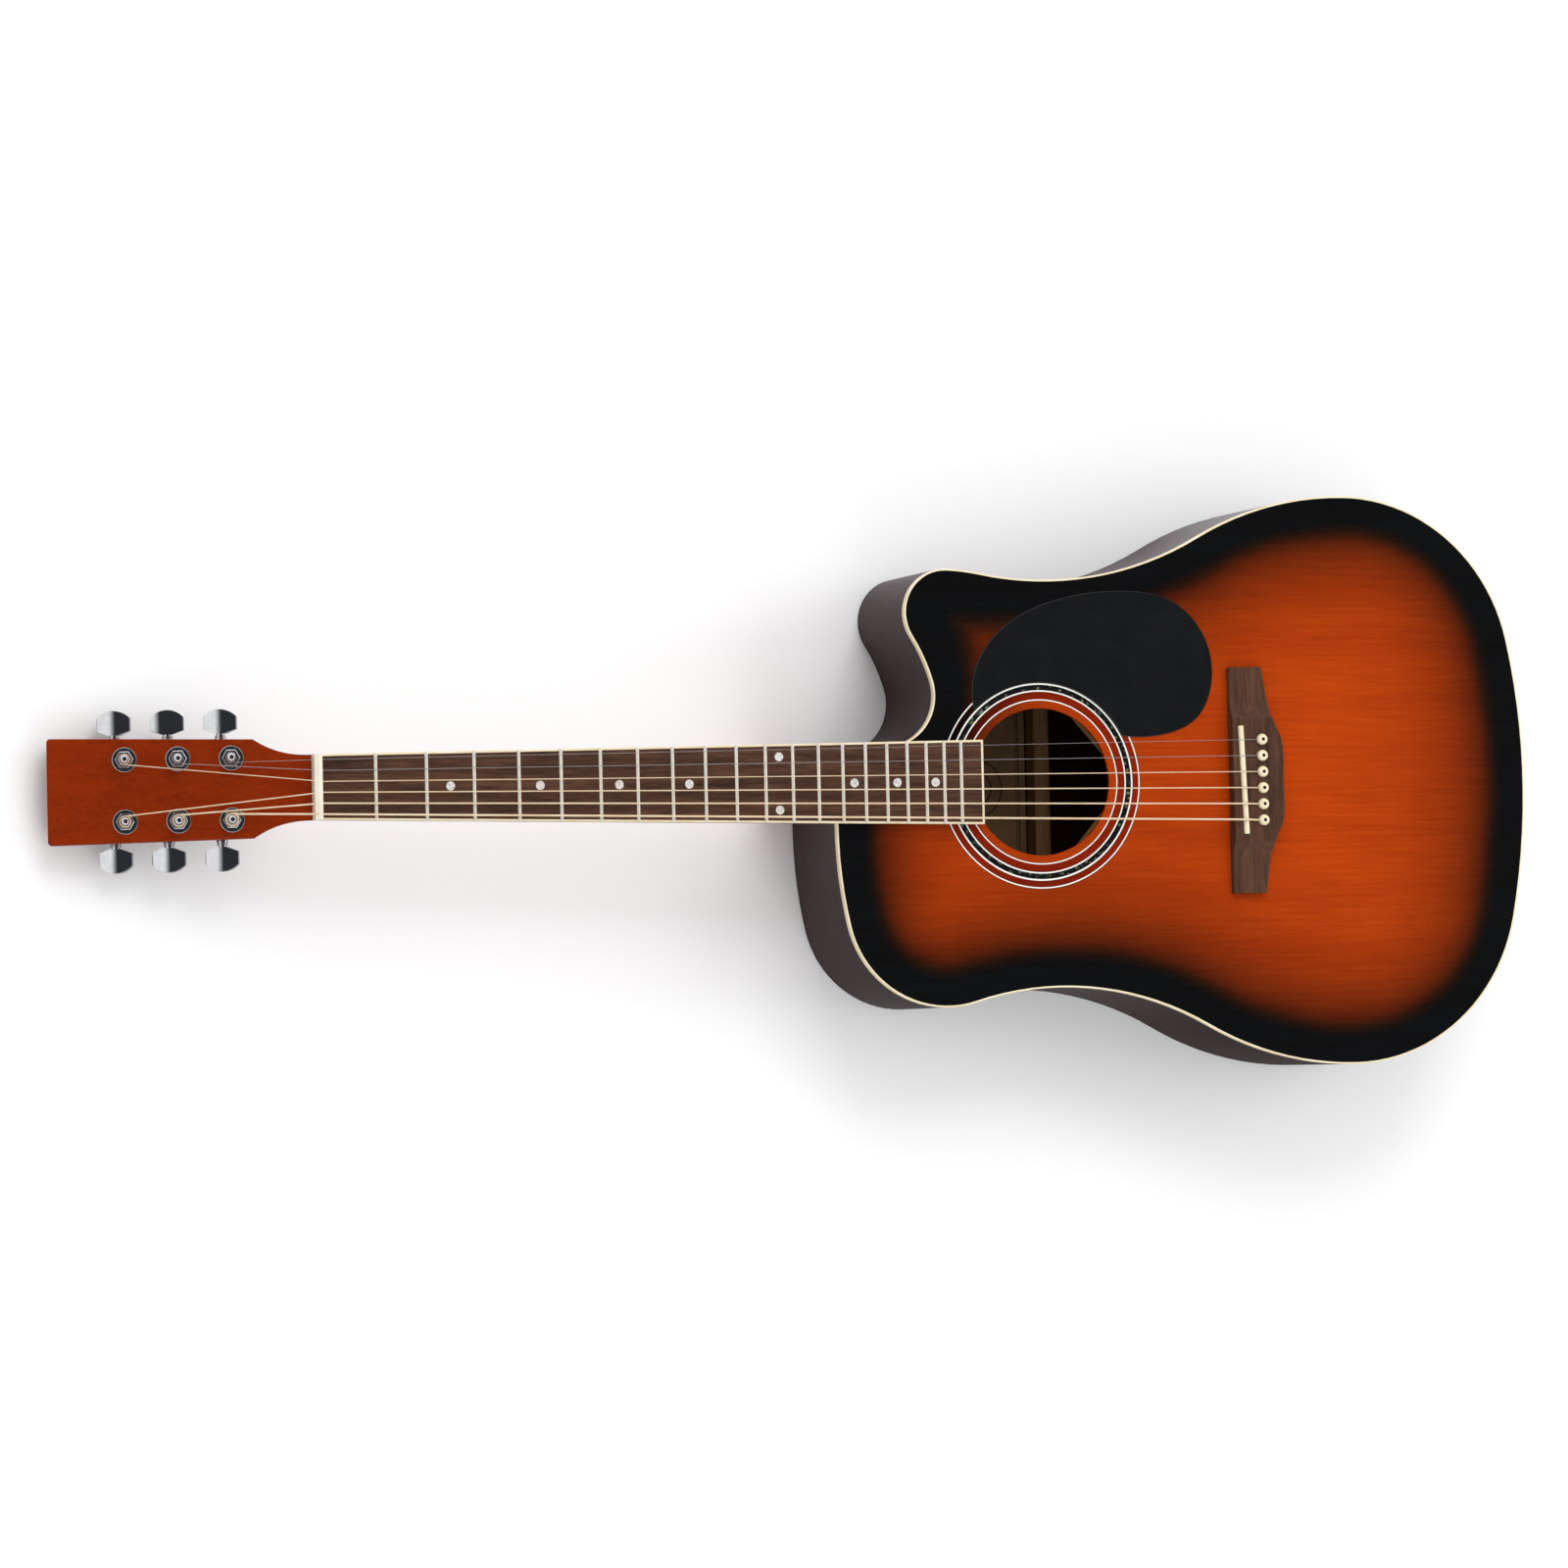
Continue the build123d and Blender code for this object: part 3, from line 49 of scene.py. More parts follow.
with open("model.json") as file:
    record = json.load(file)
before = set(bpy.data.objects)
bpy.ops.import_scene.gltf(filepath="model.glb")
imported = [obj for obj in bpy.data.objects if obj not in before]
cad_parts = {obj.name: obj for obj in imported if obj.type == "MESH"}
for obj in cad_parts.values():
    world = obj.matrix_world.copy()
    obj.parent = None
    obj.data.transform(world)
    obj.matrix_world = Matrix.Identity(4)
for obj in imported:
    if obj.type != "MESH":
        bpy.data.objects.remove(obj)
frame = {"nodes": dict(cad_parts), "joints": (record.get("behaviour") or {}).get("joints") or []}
cad_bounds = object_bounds()
nodes = frame["nodes"]
joints = {joint["name"]: joint for joint in frame["joints"]}

MM = 0.001
STRINGS = (1, 2, 3, 4, 5, 6)
TREBLE_STRINGS = (1, 2, 3)

# ---------------------------------------------------------------- places worked out from the frame


def middle(node):
    """Centre of a CAD node's box."""
    low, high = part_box(node)
    return (low + high) / 2


def post_axis(string):
    """Unit vector up a string's post, and a point on it, from the post's joint."""
    joint = joints[f"post_turn_{string}"]
    return Vector(joint["axis"]).normalized(), Vector(joint["pos_m"])


def upward_normal(node):
    """Area-weighted normal of a node's upward faces."""
    total = Vector()
    for face in nodes[node].data.polygons:
        if face.normal.z > 0.9:
            total += face.normal * face.area
    return total.normalized()


top_normal = upward_normal("soundboard")
taper = math.atan2(-top_normal.x, top_normal.z)
hole_centre = middle("rosette")

# ---------------------------------------------------------------- building node materials


def colour(code):
    """A linear colour from a six-digit display code."""
    parts = [int(code[place : place + 2], 16) / 255 for place in (0, 2, 4)]
    linear = [part / 12.92 if part <= 0.04045 else ((part + 0.055) / 1.055) ** 2.4 for part in parts]
    return (*linear, 1.0)


class Shader:
    """A node material while it is being built. Its methods add nodes and return their outputs."""

    def __init__(self, name):
        self.material = bpy.data.materials.new(name)
        self.material.use_nodes = True
        self.tree = self.material.node_tree
        self.surface = self.tree.nodes["Principled BSDF"]
        self.place = self.add("ShaderNodeTexCoord").outputs["Object"]

    def add(self, kind, inputs=None, **settings):
        """Add a node with settings; inputs are values or other nodes' outputs."""
        node = self.tree.nodes.new(kind)
        for key, value in settings.items():
            setattr(node, key, value)
        for key, value in (inputs or {}).items():
            self.feed(node.inputs[key], value)
        return node

    def feed(self, socket, value):
        """Give a socket a value or link it to an output."""
        if isinstance(value, bpy.types.NodeSocket):
            self.tree.links.new(value, socket)
        else:
            socket.default_value = value

    def stretch(self, x, y, z):
        """Object coordinates times a scale per axis, per metre."""
        return self.add("ShaderNodeMapping", {"Vector": self.place, "Scale": (x, y, z)}).outputs["Vector"]

    def local(self, centre, turn):
        """Coordinates measured from a point, along turned axes."""
        return self.add(
            "ShaderNodeMapping",
            {"Vector": self.place, "Location": centre, "Rotation": turn},
            vector_type="TEXTURE",
        ).outputs["Vector"]

    def radius(self, centre, tilt=0.0):
        """Distance in metres from an upright axis through a point, leaning by tilt towards the neck."""
        flat = self.add(
            "ShaderNodeVectorMath",
            {0: self.local(centre, (0, -tilt, 0)), 1: (1, 1, 0)},
            operation="MULTIPLY",
        ).outputs["Vector"]
        return self.add("ShaderNodeVectorMath", {0: flat}, operation="LENGTH").outputs["Value"]

    def noise(self, vector, detail=3.0, roughness=0.5, distortion=0.0):
        """Smooth noise from 0 to 1, as fine as the vector is stretched."""
        return self.add(
            "ShaderNodeTexNoise",
            {
                "Vector": vector,
                "Scale": 1.0,
                "Detail": detail,
                "Roughness": roughness,
                "Distortion": distortion,
            },
        ).outputs["Fac"]

    def math(self, operation, first, second=0.0, clamp=False):
        """A number worked out from one or two values."""
        node = self.add("ShaderNodeMath", operation=operation, use_clamp=clamp)
        self.feed(node.inputs[0], first)
        self.feed(node.inputs[1], second)
        return node.outputs["Value"]

    def near(self, value, target, reach):
        """1 where a value is within reach of a target, and 0 elsewhere."""
        node = self.add("ShaderNodeMath", operation="COMPARE")
        self.feed(node.inputs[0], value)
        self.feed(node.inputs[1], target)
        self.feed(node.inputs[2], reach)
        return node.outputs["Value"]

    def spread(self, value, low, high, new_low=0.0, new_high=1.0):
        """Map a range of a value to another range, clamped."""
        return self.add(
            "ShaderNodeMapRange",
            {"Value": value, "From Min": low, "From Max": high, "To Min": new_low, "To Max": new_high},
        ).outputs["Result"]

    def ramp(self, value, stops, interpolation="LINEAR"):
        """Colour ramp through (position, colour code) stops."""
        node = self.add("ShaderNodeValToRGB", {"Fac": value})
        node.color_ramp.interpolation = interpolation
        elements = node.color_ramp.elements
        while len(elements) < len(stops):
            elements.new(0.5)
        for element, (position, code) in zip(elements, stops):
            element.position = position
            element.color = colour(code)
        return node.outputs["Color"]

    def mix(self, factor, first, second, blend="MIX"):
        """Mix two colours; each is a code or an output."""
        node = self.add("ShaderNodeMix", data_type="RGBA", blend_type=blend)
        self.feed(node.inputs[0], factor)
        self.feed(node.inputs[6], colour(first) if isinstance(first, str) else first)
        self.feed(node.inputs[7], colour(second) if isinstance(second, str) else second)
        return node.outputs[2]

    def axis_part(self, vector, axis):
        """One of a vector's X, Y and Z."""
        return self.add("ShaderNodeSeparateXYZ", {"Vector": vector}).outputs[axis]

    def bump(self, height, depth, strength=1.0):
        """Raise the surface by a height map, depth in metres."""
        normal = self.add(
            "ShaderNodeBump", {"Height": height, "Distance": depth, "Strength": strength}
        ).outputs["Normal"]
        self.feed(self.surface.inputs["Normal"], normal)

    def finish(self, base, roughness, metallic=0.0, shine=0.5, coat=0.0, coat_roughness=0.05):
        """Set the surface's inputs and return the material."""
        self.feed(self.surface.inputs["Base Color"], base)
        self.feed(self.surface.inputs["Roughness"], roughness)
        self.feed(self.surface.inputs["Metallic"], metallic)
        self.feed(self.surface.inputs["Specular IOR Level"], shine)
        self.feed(self.surface.inputs["Coat Weight"], coat)
        self.feed(self.surface.inputs["Coat Roughness"], coat_roughness)
        return self.material


GRAIN_STRETCH = 22.0  # how many times longer the grain's features are than they are wide
OPEN_PORES = 0.55  # how dark pores are in wood that shows them, and in filled wood
FILLED_PORES = 0.25


def wood(name, tones, grain, pore_depth=0.0, roughness=0.4, shine=0.3, coat=0.0, coat_roughness=0.08):
    """Straight-grained wood in dark, middle and light tones; its grain runs along the axis X or Y."""
    shader = Shader(name)

    def grained(fineness):
        """Coordinates stretched along the grain."""
        across = fineness * GRAIN_STRETCH
        return shader.stretch(*(fineness if axis == grain else across for axis in "XYZ"))

    bands = shader.noise(grained(5), detail=4, distortion=0.6)
    streaks = shader.noise(grained(26), detail=5, roughness=0.65)
    fibres = shader.noise(grained(90), detail=2, roughness=0.7)
    pores = shader.noise(grained(55), detail=1, roughness=0.3)
    blend = shader.math("MULTIPLY", bands, 0.45)
    blend = shader.math("ADD", blend, shader.math("MULTIPLY", streaks, 0.55))
    base = shader.ramp(blend, [(0.30, tones[0]), (0.50, tones[1]), (0.72, tones[2])])
    base = shader.mix(shader.spread(fibres, 0.35, 0.75, 0.0, 0.35), base, tones[0])
    pore_mask = shader.spread(pores, 0.62, 0.70)
    pore_tone = OPEN_PORES if pore_depth else FILLED_PORES
    base = shader.mix(shader.math("MULTIPLY", pore_mask, pore_tone), base, tones[0])
    if pore_depth:
        shader.bump(shader.math("SUBTRACT", fibres, pore_mask), pore_depth, 0.6)
    rough = shader.spread(streaks, 0.3, 0.7, roughness - 0.05, roughness + 0.08)
    return shader.finish(base, rough, shine=shine, coat=coat, coat_roughness=coat_roughness)


SPRAY_TONES = (  # distance from the binding in millimetres, and the lacquer's colour there
    (17, "0d0f11"),
    (22, "20110a"),
    (26, "381606"),
    (31, "561e03"),
    (37, "6a2402"),
    (46, "7e2b02"),
    (62, "963302"),
    (90, "ab3c03"),
    (160, "bb4404"),
)
SPRAY_RANGE = SPRAY_TONES[-1][0]
SPRAY_DRIFT = 5.0  # how unevenly it was sprayed, in millimetres
ROSETTE_GAPS = ((56.2, 61.0), (67.2, 71.4))  # radii of the darker wood between the rings, in millimetres


def sunburst_spruce():
    """Fine spruce under lacquer: amber in the middle, sprayed to black at the edge."""
    shader = Shader("sunburst_spruce")
    edge = shader.add("ShaderNodeAttribute", attribute_name="edge_mm").outputs["Fac"]
    rings = shader.noise(shader.stretch(1.5, 420, 420), detail=3, roughness=0.6, distortion=0.25)
    wide = shader.noise(shader.stretch(1.2, 34, 34), detail=2)
    silk_sheen = shader.noise(shader.stretch(520, 16, 16), detail=2, roughness=0.7)
    cloud = shader.noise(shader.stretch(14, 14, 14), detail=2)
    drift = shader.math("MULTIPLY", shader.math("SUBTRACT", cloud, 0.5), SPRAY_DRIFT)
    reach = shader.math("ADD", edge, drift)
    spray = shader.math("DIVIDE", reach, SPRAY_RANGE)
    base = shader.ramp(spray, [(place / SPRAY_RANGE, code) for place, code in SPRAY_TONES])
    radius = shader.radius(hole_centre, taper)
    for inner, outer in ROSETTE_GAPS:
        gap = shader.near(radius, (inner + outer) / 2 * MM, (outer - inner) / 2 * MM)
        base = shader.mix(gap, base, "c89c90", "MULTIPLY")
    base = shader.mix(shader.spread(rings, 0.3, 0.7), base, "e6dcd2", "MULTIPLY")
    base = shader.mix(shader.spread(wide, 0.35, 0.7), base, "f2e8e0", "MULTIPLY")
    # Silk figure with a painted sheen: the wood away from the cross-grain silk flecks is darkened, so the
    # flecks look lit.
    base = shader.mix(shader.spread(silk_sheen, 0.40, 0.75, 0.3, 0.0), base, "f0eae4", "MULTIPLY")
    shader.bump(rings, 0.00002, 0.2)
    return shader.finish(base, 0.45, shine=0.05, coat=0.25, coat_roughness=0.08)


def polished_metal(name, base_code, roughness, scratch=0.04, metallic=1.0):
    """Metal with a fine uneven polish."""
    shader = Shader(name)
    smudge = shader.noise(shader.stretch(160, 160, 160), detail=4)
    lines = shader.noise(shader.stretch(300, 4200, 2600), detail=2)
    rough = shader.spread(smudge, 0.3, 0.7, roughness, roughness + 0.06)
    rough = shader.math("ADD", rough, shader.spread(lines, 0.55, 0.8, 0.0, scratch))
    base = shader.mix(shader.spread(smudge, 0.35, 0.8, 0.0, 0.18), base_code, "808084")
    shader.bump(lines, 0.000002, 0.3)
    return shader.finish(base, rough, metallic=metallic)


def wound_bronze():
    """Bronze wrap on the thick strings, as fine turns across the string, with painted shade in the grooves
    between the turns.
    """
    shader = Shader("wound_bronze")
    turns = shader.add(
        "ShaderNodeTexWave",
        {"Vector": shader.place, "Scale": 620.0, "Distortion": 0.0},
        wave_type="BANDS",
        bands_direction="X",
        wave_profile="SIN",
    ).outputs["Fac"]
    tarnish = shader.noise(shader.stretch(30, 300, 300), detail=3)
    base = shader.mix(shader.spread(tarnish, 0.35, 0.7), "fae6c8", "ecd0a8")
    # Painted shade: the bronze is darker in the grooves between the turns.
    base = shader.mix(shader.spread(turns, 0.0, 0.35, 0.4, 0.0), base, "a07c58")
    shader.bump(turns, 0.00006, 0.6)
    return shader.finish(base, 0.4, metallic=0.35)


def moulded_plastic(name, tones, roughness, shine=0.5, coat=0.0, grain_size=2600.0):
    """Moulded plastic with a faint mottle and orange peel."""
    shader = Shader(name)
    mottle = shader.noise(shader.stretch(70, 70, 70), detail=3)
    peel = shader.noise(shader.stretch(grain_size, grain_size, grain_size), detail=2)
    base = shader.mix(shader.spread(mottle, 0.3, 0.7), tones[0], tones[1])
    shader.bump(peel, 0.00001, 0.25)
    rough = shader.spread(mottle, 0.3, 0.7, roughness, roughness + 0.06)
    return shader.finish(base, rough, shine=shine, coat=coat)


def pearl():
    """Pearly inlay: pale patches that shift between warm and cool."""
    shader = Shader("pearl_inlay")
    swirl = shader.noise(shader.stretch(420, 300, 300), detail=3, distortion=2.5)
    base = shader.ramp(swirl, [(0.30, "8f8f92"), (0.45, "c9c6c4"), (0.58, "e9e4da"), (0.72, "b7bcc4")])
    return shader.finish(base, shader.spread(swirl, 0.3, 0.7, 0.12, 0.3), coat=0.5)


ROSETTE_LINES = (  # the radius in millimetres from which each colour goes outwards
    (54.0, "1c0f0a"),
    (55.2, "eeece6"),
    (56.0, "1c0f0a"),
    (61.2, "eeece6"),
    (62.2, "0b0c0c"),
    (65.9, "eeece6"),
    (67.0, "1c0f0a"),
    (71.5, "eeece6"),
    (72.3, "15100e"),
)
ROSETTE_OUTSIDE = 74.0
SHELL_BAND = (62.5, 65.7)


def rosette_inlay():
    """Three inlaid rings: a white line each, and flecks of shell between two lines in the middle one."""
    shader = Shader("rosette_inlay")
    radius = shader.radius(hole_centre, taper)
    inside = ROSETTE_LINES[0][0]
    position = shader.spread(radius, inside * MM, ROSETTE_OUTSIDE * MM)
    width = ROSETTE_OUTSIDE - inside
    stops = [((place - inside) / width, code) for place, code in ROSETTE_LINES]
    rings = shader.ramp(position, stops, "CONSTANT")
    cells = shader.add("ShaderNodeTexVoronoi", {"Vector": shader.place, "Scale": 560.0})
    pick = shader.axis_part(cells.outputs["Color"], "X")
    tint = shader.axis_part(cells.outputs["Color"], "Y")
    shell = shader.ramp(
        tint, [(0.1, "27483a"), (0.4, "4c6a44"), (0.6, "a39a52"), (0.8, "3d5664"), (0.92, "7a5c58")]
    )
    in_band = shader.math(
        "MULTIPLY",
        shader.math("GREATER_THAN", radius, SHELL_BAND[0] * MM),
        shader.math("LESS_THAN", radius, SHELL_BAND[1] * MM),
    )
    bright = shader.math("MULTIPLY", shader.spread(pick, 0.78, 0.99), in_band)
    base = shader.mix(bright, rings, shell)
    return shader.finish(base, 0.3, coat=0.5, coat_roughness=0.1)


BORDERS = ((5.0, 0.5), (7.0, 0.25))  # each printed line's distance from the label's edge and half width
RING_STEP = 4.0  # the first ring's radius; the others go up by twice this
RING_INSET = 0.3  # where a ring's line sits inside its radius
RING_HALF_WIDTH = 0.35
RINGS_END = 24.0


def label_paper():
    """Brown paper with a plain printed border and rings, and no words."""
    shader = Shader("label_paper")
    low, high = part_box("paper_label")
    half = (high - low) / 2
    centre = middle("paper_label")
    spot = shader.local(centre, (0, 0, 0))
    fibre = shader.noise(shader.stretch(900, 900, 900), detail=4)
    blotch = shader.noise(shader.stretch(40, 40, 40), detail=2)
    paper = shader.ramp(
        shader.math("ADD", shader.math("MULTIPLY", fibre, 0.5), shader.math("MULTIPLY", blotch, 0.5)),
        [(0.35, "6a4e32"), (0.65, "886844")],
    )
    from_x = shader.math("SUBTRACT", half.x, shader.math("ABSOLUTE", shader.axis_part(spot, "X")))
    from_y = shader.math("SUBTRACT", half.y, shader.math("ABSOLUTE", shader.axis_part(spot, "Y")))
    inward = shader.math("MINIMUM", from_x, from_y)
    radius = shader.radius(centre)
    fold = shader.math("PINGPONG", radius, RING_STEP * MM)
    rings = shader.near(fold, (RING_STEP - RING_INSET) * MM, RING_HALF_WIDTH * MM)
    ink = shader.math("MULTIPLY", rings, shader.math("LESS_THAN", radius, RINGS_END * MM))
    for distance, half_width in BORDERS:
        line = shader.near(inward, distance * MM, half_width * MM)
        ink = shader.math("ADD", ink, line, clamp=True)
    base = shader.mix(shader.math("MULTIPLY", ink, 0.75), paper, "1d140d")
    shader.bump(fibre, 0.00004, 0.5)
    return shader.finish(base, 0.85)


MIRROR_REACH = 0.25  # the painted reflection of the floor goes from dark to white over this far to each side, in metres


def floor_finish():
    """Pale studio floor with a barely uneven tone, and a painted reflection of it for polished surfaces:
    dark on the bass side, standing in for shade on the floor there.
    """
    shader = Shader("studio_floor")
    tone = shader.noise(shader.stretch(2, 2, 2), detail=2)
    seen = shader.mix(tone, "f4f4f4", "f7f7f7")
    sideways = shader.axis_part(shader.place, "Y")
    # Painted reflection: only glossy rays see this ramp. It is dark on the bass side in place of shade on
    # the floor, and white on the treble side.
    mirrored = shader.ramp(
        shader.spread(sideways, -MIRROR_REACH, MIRROR_REACH),
        [(0.0, "3c3836"), (0.4, "b4b0b4"), (0.84, "b4b0b4"), (1.0, "ffffff")],
    )
    glossy = shader.add("ShaderNodeLightPath").outputs["Is Glossy Ray"]
    return shader.finish(shader.mix(glossy, seen, mirrored), 0.9)


MAHOGANY = ("1a0c0a", "2e1612", "3c1e18")
NECK_TONES = ("701e02", "842802", "902f03")
ROSEWOOD = ("24150e", "4e3122", "694631")
BARE_WOOD = ("604226", "825e3a", "9c7850")
BINDING_TONES = ("e0cfaa", "ecdfc2")

looks = {
    "spruce_top": sunburst_spruce(),
    "side_wood": wood("side_mahogany", MAHOGANY, "X", shine=0.15, coat=0.5, coat_roughness=0.1),
    "neck_wood": wood("neck_stain", NECK_TONES, "X", shine=0.05, coat=0.1, coat_roughness=0.15),
    "inner_wood": wood("bare_wood", BARE_WOOD, "Y", pore_depth=0.00004, roughness=0.7),
    "rosewood": wood("rosewood_along", ROSEWOOD, "X", pore_depth=0.00005, roughness=0.5),
    "cream_plastic": moulded_plastic("cream_plastic", BINDING_TONES, 0.28, coat=0.3),
    "black_plastic": moulded_plastic("black_plastic", ("0e0f11", "101113"), 0.3),
    "rosette_inlay": rosette_inlay(),
    "pearl": pearl(),
    "label_paper": label_paper(),
    "fret_metal": polished_metal("fret_metal", "efe8da", 0.35, metallic=0.35),
    "plain_steel": polished_metal("plain_steel", "cfcfd2", 0.2),
    "string_bronze": wound_bronze(),
    "brass_fittings": polished_metal("brass_fittings", "c9a35a", 0.22),
    "chrome": polished_metal("chrome", "dcdde0", 0.06),
}
bone_plastic = moulded_plastic("bone_plastic", ("e2d8c4", "efe8d8"), 0.3, coat=0.2)
across_rosewood = wood("rosewood_across", ROSEWOOD, "Y", pore_depth=0.00005, roughness=0.5)


def dress(node):
    """Swap a CAD node's record finishes for the looks of the same slots."""
    for place in nodes[node].material_slots:
        place.material = looks[place.material.name]


for name in nodes:
    dress(name)
nodes["bridge"].material_slots[0].material = across_rosewood
nodes["nut"].material_slots[0].material = bone_plastic

# ---------------------------------------------------------------- softened edges

EDGE_WIDTHS = {  # how far each sharp edge is rounded, in millimetres
    "bridge": 0.5,
    "back": 0.8,
    "fretboard_binding": 0.25,
    "pin_dots": 0.1,
    "tuner_housings": 0.25,
    "tuner_covers": 0.2,
    "tuner_bushings": 0.15,
    "tuner_screws": 0.3,
}


def soften(node, width):
    """Round a node's sharp edges with modifiers, so that they catch the light."""
    piece = nodes[node]
    weld = piece.modifiers.new("weld", "WELD")
    weld.merge_threshold = 0.001 * MM
    bevel = piece.modifiers.new("bevel", "BEVEL")
    bevel.width = width * MM
    bevel.segments = 3
    bevel.limit_method = "ANGLE"
    bevel.angle_limit = math.radians(35)
    bevel.use_clamp_overlap = False
    bevel.miter_outer = "MITER_ARC"
    shade = piece.modifiers.new("shade", "WEIGHTED_NORMAL")
    shade.keep_sharp = False


for name, width in EDGE_WIDTHS.items():
    soften(name, width)

# ---------------------------------------------------------------- soundboard with its sunburst

GRID = 4 * MM
HORN = Vector((-185 * MM, 132 * MM, 0))  # the treble horn, where the black is widest
HORN_SIZE = 60 * MM
HORN_SPREAD = 0.55
SAMPLE_STEP = 1 * MM


def edge_tree():
    """Closely spaced points round the binding, for distances from the body's edge."""
    mesh = nodes["binding"].data
    points = []
    for edge in mesh.edges:
        start, end = (mesh.vertices[index].co for index in edge.vertices)
        count = max(1, round((end - start).length / SAMPLE_STEP))
        points.extend(start.lerp(end, step / count) for step in range(count + 1))
    tree = KDTree(len(points))
    for index, point in enumerate(points):
        tree.insert(point, index)
    tree.balance()
    return tree


def build_soundboard():
    """The CAD soundboard cut into a grid, so that each point can hold its distance from the edge."""
    board = bmesh.new()
    board.from_mesh(nodes["soundboard"].data)
    bmesh.ops.remove_doubles(board, verts=board.verts, dist=0.001 * MM)
    bmesh.ops.dissolve_limit(board, angle_limit=math.radians(0.5), verts=board.verts, edges=board.edges)
    low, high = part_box("soundboard")
    for axis in (0, 1):
        normal = Vector((0, 0, 0))
        normal[axis] = 1
        for step in range(1, int((high[axis] - low[axis]) / GRID)):
            place = Vector(low)
            place[axis] = low[axis] + step * GRID
            geometry = board.verts[:] + board.edges[:] + board.faces[:]
            bmesh.ops.bisect_plane(board, geom=geometry, plane_co=place, plane_no=normal, dist=1e-7)
    bmesh.ops.triangulate(board, faces=board.faces)
    mesh = bpy.data.meshes.new("soundboard_sunburst")
    board.to_mesh(mesh)
    board.free()
    tree = edge_tree()
    distances = mesh.attributes.new("edge_mm", "FLOAT", "POINT")
    for vertex, value in zip(mesh.vertices, distances.data):
        reach = tree.find(vertex.co)[2] / MM
        offset = (vertex.co - HORN).to_2d().length / HORN_SIZE
        value.value = reach / (1 + HORN_SPREAD * math.exp(-offset * offset))
    piece = bpy.data.objects.new("soundboard_sunburst", mesh)
    bpy.context.scene.collection.objects.link(piece)
    mesh.materials.append(looks["spruce_top"])
    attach(piece, "guitar")
    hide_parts("soundboard")
    return piece


soundboard = build_soundboard()

# ---------------------------------------------------------------- string windings on the posts

TUBE_SIDES = 10
TURN_STEPS = 28  # points in one turn round a post
PLAIN_STRINGS = (1, 2)
GAUGES = {1: 0.30, 2: 0.41, 3: 0.61, 4: 0.81, 5: 1.07, 6: 1.35}  # string diameters in millimetres
POST_RADIUS = 3.05
TURN_SPACING = 1.08  # between turns, in string diameters
MOST_TURNS = 4
WRAP_HEIGHT = 6.0  # above the head's face, where each string meets its post
HOLE_HEIGHT = 9.2  # above the head's face, where it enters the post


def tube(name, points, radius):
    """A closed round tube along a line of points."""
    mesh = bmesh.new()
    rings = []
    side = None
    for index, point in enumerate(points):
        before = points[max(index - 1, 0)]
        after = points[min(index + 1, len(points) - 1)]
        heading = (after - before).normalized()
        side = heading.orthogonal() if side is None else side - heading * side.dot(heading)
        side.normalize()
        other = heading.cross(side)
        ring = []
        for step in range(TUBE_SIDES):
            angle = 2 * math.pi * step / TUBE_SIDES
            ring.append(mesh.verts.new(point + (side * math.cos(angle) + other * math.sin(angle)) * radius))
        rings.append(ring)
    for ring, following in zip(rings, rings[1:]):
        for step in range(TUBE_SIDES):
            after = (step + 1) % TUBE_SIDES
            mesh.faces.new((ring[step], ring[after], following[after], following[step]))
    mesh.faces.new(reversed(rings[0]))
    mesh.faces.new(rings[-1])
    for face in mesh.faces:
        face.smooth = len(face.verts) == 4
    data = bpy.data.meshes.new(name)
    mesh.to_mesh(data)
    mesh.free()
    piece = bpy.data.objects.new(name, data)
    bpy.context.scene.collection.objects.link(piece)
    return piece


def winding(string):
    """The turns of a string round its post, from where it arrives up to the post's hole."""
    axis, point = post_axis(string)
    side = 1 if string in TREBLE_STRINGS else -1
    inner = Vector((0, -side, 0))
    forward = axis.cross(inner) * side
    if forward.x > 0:
        forward = -forward
    gauge = GAUGES[string]
    reach = (POST_RADIUS + gauge / 2) * MM
    rise = HOLE_HEIGHT - WRAP_HEIGHT
    turns = 1 + min(MOST_TURNS, int(rise / (gauge * TURN_SPACING)))
    points = []
    for step in range(turns * TURN_STEPS + 1):
        angle = 2 * math.pi * step / TURN_STEPS
        climb = max(0.0, step / TURN_STEPS - 1) / max(1, turns - 1)  # the first turn stays level
        height = (WRAP_HEIGHT + rise * climb) * MM
        points.append(point + axis * height + (inner * math.cos(angle) + forward * math.sin(angle)) * reach)
    piece = tube(f"string_winding_{string}", points, gauge / 2 * MM)
    slot = "plain_steel" if string in PLAIN_STRINGS else "string_bronze"
    piece.data.materials.append(looks[slot])
    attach(piece, f"post_{string}")


for string in STRINGS:
    winding(string)

# ---------------------------------------------------------------- studio: floor, light and camera


FLOOR_HALF = 12.0
FLOOR_GAP = 0.2 * MM  # keeps the floor clear of the flat back


def add_floor():
    """A wide flat floor under the object."""
    mesh = bpy.data.meshes.new("studio_floor")
    corners = [
        (-FLOOR_HALF, -FLOOR_HALF, 0),
        (FLOOR_HALF, -FLOOR_HALF, 0),
        (FLOOR_HALF, FLOOR_HALF, 0),
        (-FLOOR_HALF, FLOOR_HALF, 0),
    ]
    mesh.from_pydata(corners, [], [(0, 1, 2, 3)])
    mesh.materials.append(floor_finish())
    floor = bpy.data.objects.new("studio_floor", mesh)
    floor.location.z = cad_bounds[0].z - FLOOR_GAP
    bpy.context.scene.collection.objects.link(floor)


SOFTBOXES = (  # name, place in metres and power in watts
    ("key_light", (-0.2, 2.6, 2.4), 62),
    ("fill_light", (0.4, -2.8, 2.0), 32),
    ("tail_light", (2.6, 0.3, 2.2), 25),
)
SOFTBOX_SIZE = 2.2


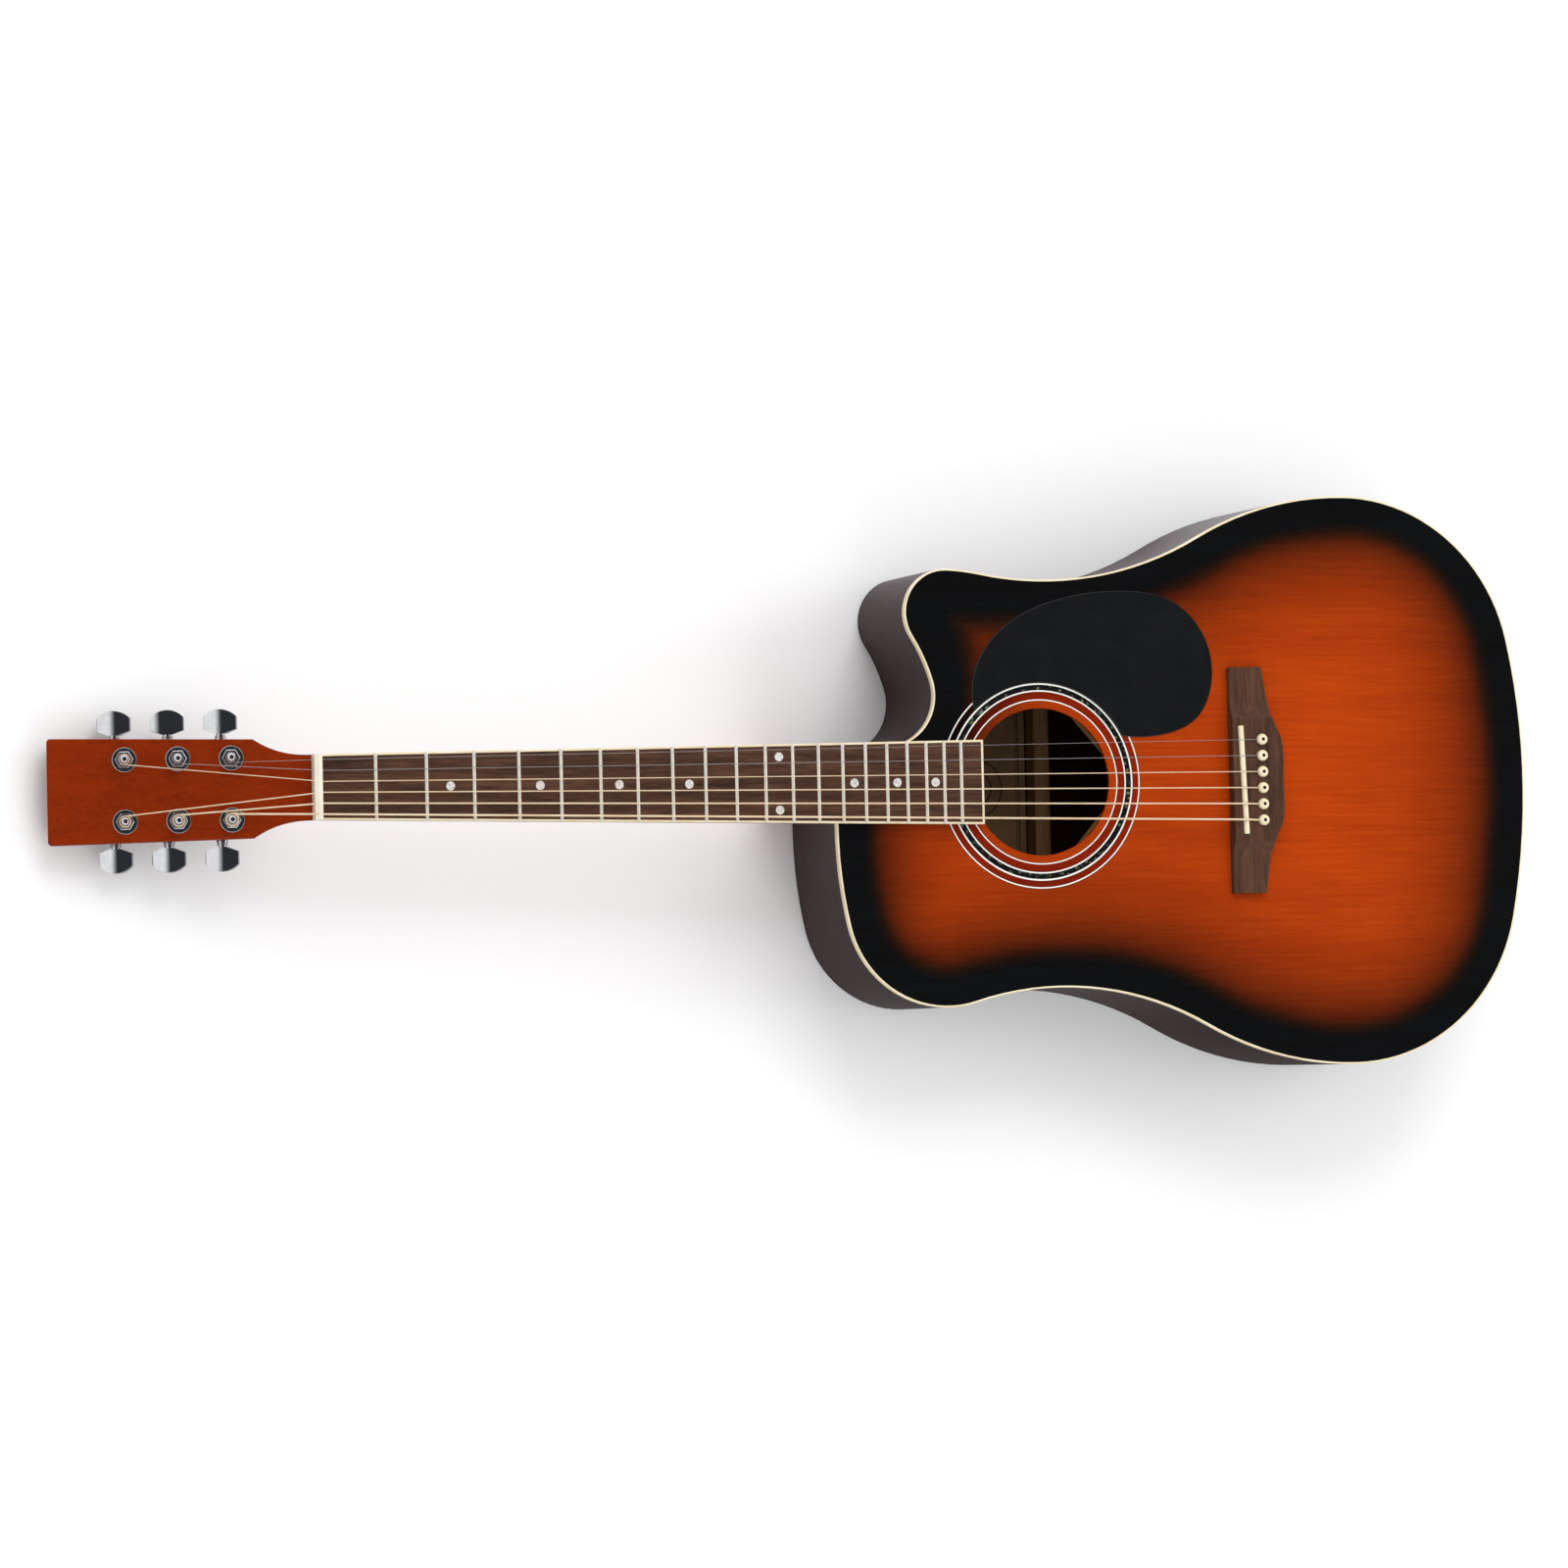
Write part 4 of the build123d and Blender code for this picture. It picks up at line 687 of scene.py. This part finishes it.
def add_softbox(name, place, power):
    """A square area light aimed at the object, which polished surfaces don't mirror."""
    lamp = bpy.data.lights.new(name, "AREA")
    lamp.size = SOFTBOX_SIZE
    lamp.energy = power
    box = bpy.data.objects.new(name, lamp)
    box.location = place
    box.rotation_mode = "QUATERNION"
    box.rotation_quaternion = (-Vector(place)).to_track_quat("-Z", "Y")
    box.visible_glossy = False
    bpy.context.scene.collection.objects.link(box)


WORLD_STRENGTH = 0.75
SIDES_TOP = 0.62  # the mirrored room is bright up to this height on the unit sphere
CEILING = 0.82  # and dark above this one


def build_world():
    """Even pale light; polished surfaces mirror a room that is dark overhead and bright round its sides."""
    world = bpy.data.worlds.new("studio")
    bpy.context.scene.world = world
    world.use_nodes = True
    tree = world.node_tree
    output = tree.nodes["World Output"]
    plain = tree.nodes["Background"]
    plain.inputs["Color"].default_value = colour("ffffff")
    plain.inputs["Strength"].default_value = WORLD_STRENGTH
    direction = tree.nodes.new("ShaderNodeTexCoord").outputs["Generated"]
    parts = tree.nodes.new("ShaderNodeSeparateXYZ")
    tree.links.new(direction, parts.inputs["Vector"])
    heights = tree.nodes.new("ShaderNodeValToRGB")
    heights.color_ramp.elements[0].position = SIDES_TOP
    heights.color_ramp.elements[0].color = colour("ffffff")
    heights.color_ramp.elements[1].position = CEILING
    heights.color_ramp.elements[1].color = colour("303236")
    tree.links.new(parts.outputs["Z"], heights.inputs["Fac"])
    mirrored = tree.nodes.new("ShaderNodeBackground")
    tree.links.new(heights.outputs["Color"], mirrored.inputs["Color"])
    path = tree.nodes.new("ShaderNodeLightPath")
    choose = tree.nodes.new("ShaderNodeMixShader")
    tree.links.new(path.outputs["Is Glossy Ray"], choose.inputs[0])
    tree.links.new(plain.outputs[0], choose.inputs[1])
    tree.links.new(mirrored.outputs[0], choose.inputs[2])
    tree.links.new(choose.outputs[0], output.inputs["Surface"])


# The camera's place in metres, the directions of its view and of the picture's top, and its focal length.
CAMERA_PLACE = Vector((-1.9003, -0.1843, 4.0027))
CAMERA_HEADING = Vector((0.3788, 0.0435, -0.9245))
CAMERA_UP = Vector((0.0047, 0.9988, 0.0489))
CAMERA_LENS = 145.5


def add_camera():
    """Camera above the headstock's end, looking down along the body."""
    lens = bpy.data.cameras.new("camera")
    lens.lens = CAMERA_LENS
    lens.sensor_width = 36.0
    camera = bpy.data.objects.new("camera", lens)
    right = CAMERA_HEADING.cross(CAMERA_UP).normalized()
    up = right.cross(CAMERA_HEADING).normalized()
    turn = Matrix((right, up, -CAMERA_HEADING.normalized())).transposed()
    camera.matrix_world = Matrix.Translation(CAMERA_PLACE) @ turn.to_4x4()
    bpy.context.scene.collection.objects.link(camera)
    bpy.context.scene.camera = camera


add_floor()
build_world()
for name, place, power in SOFTBOXES:
    add_softbox(name, place, power)
add_camera()
bpy.context.scene.view_settings.view_transform = "Standard"
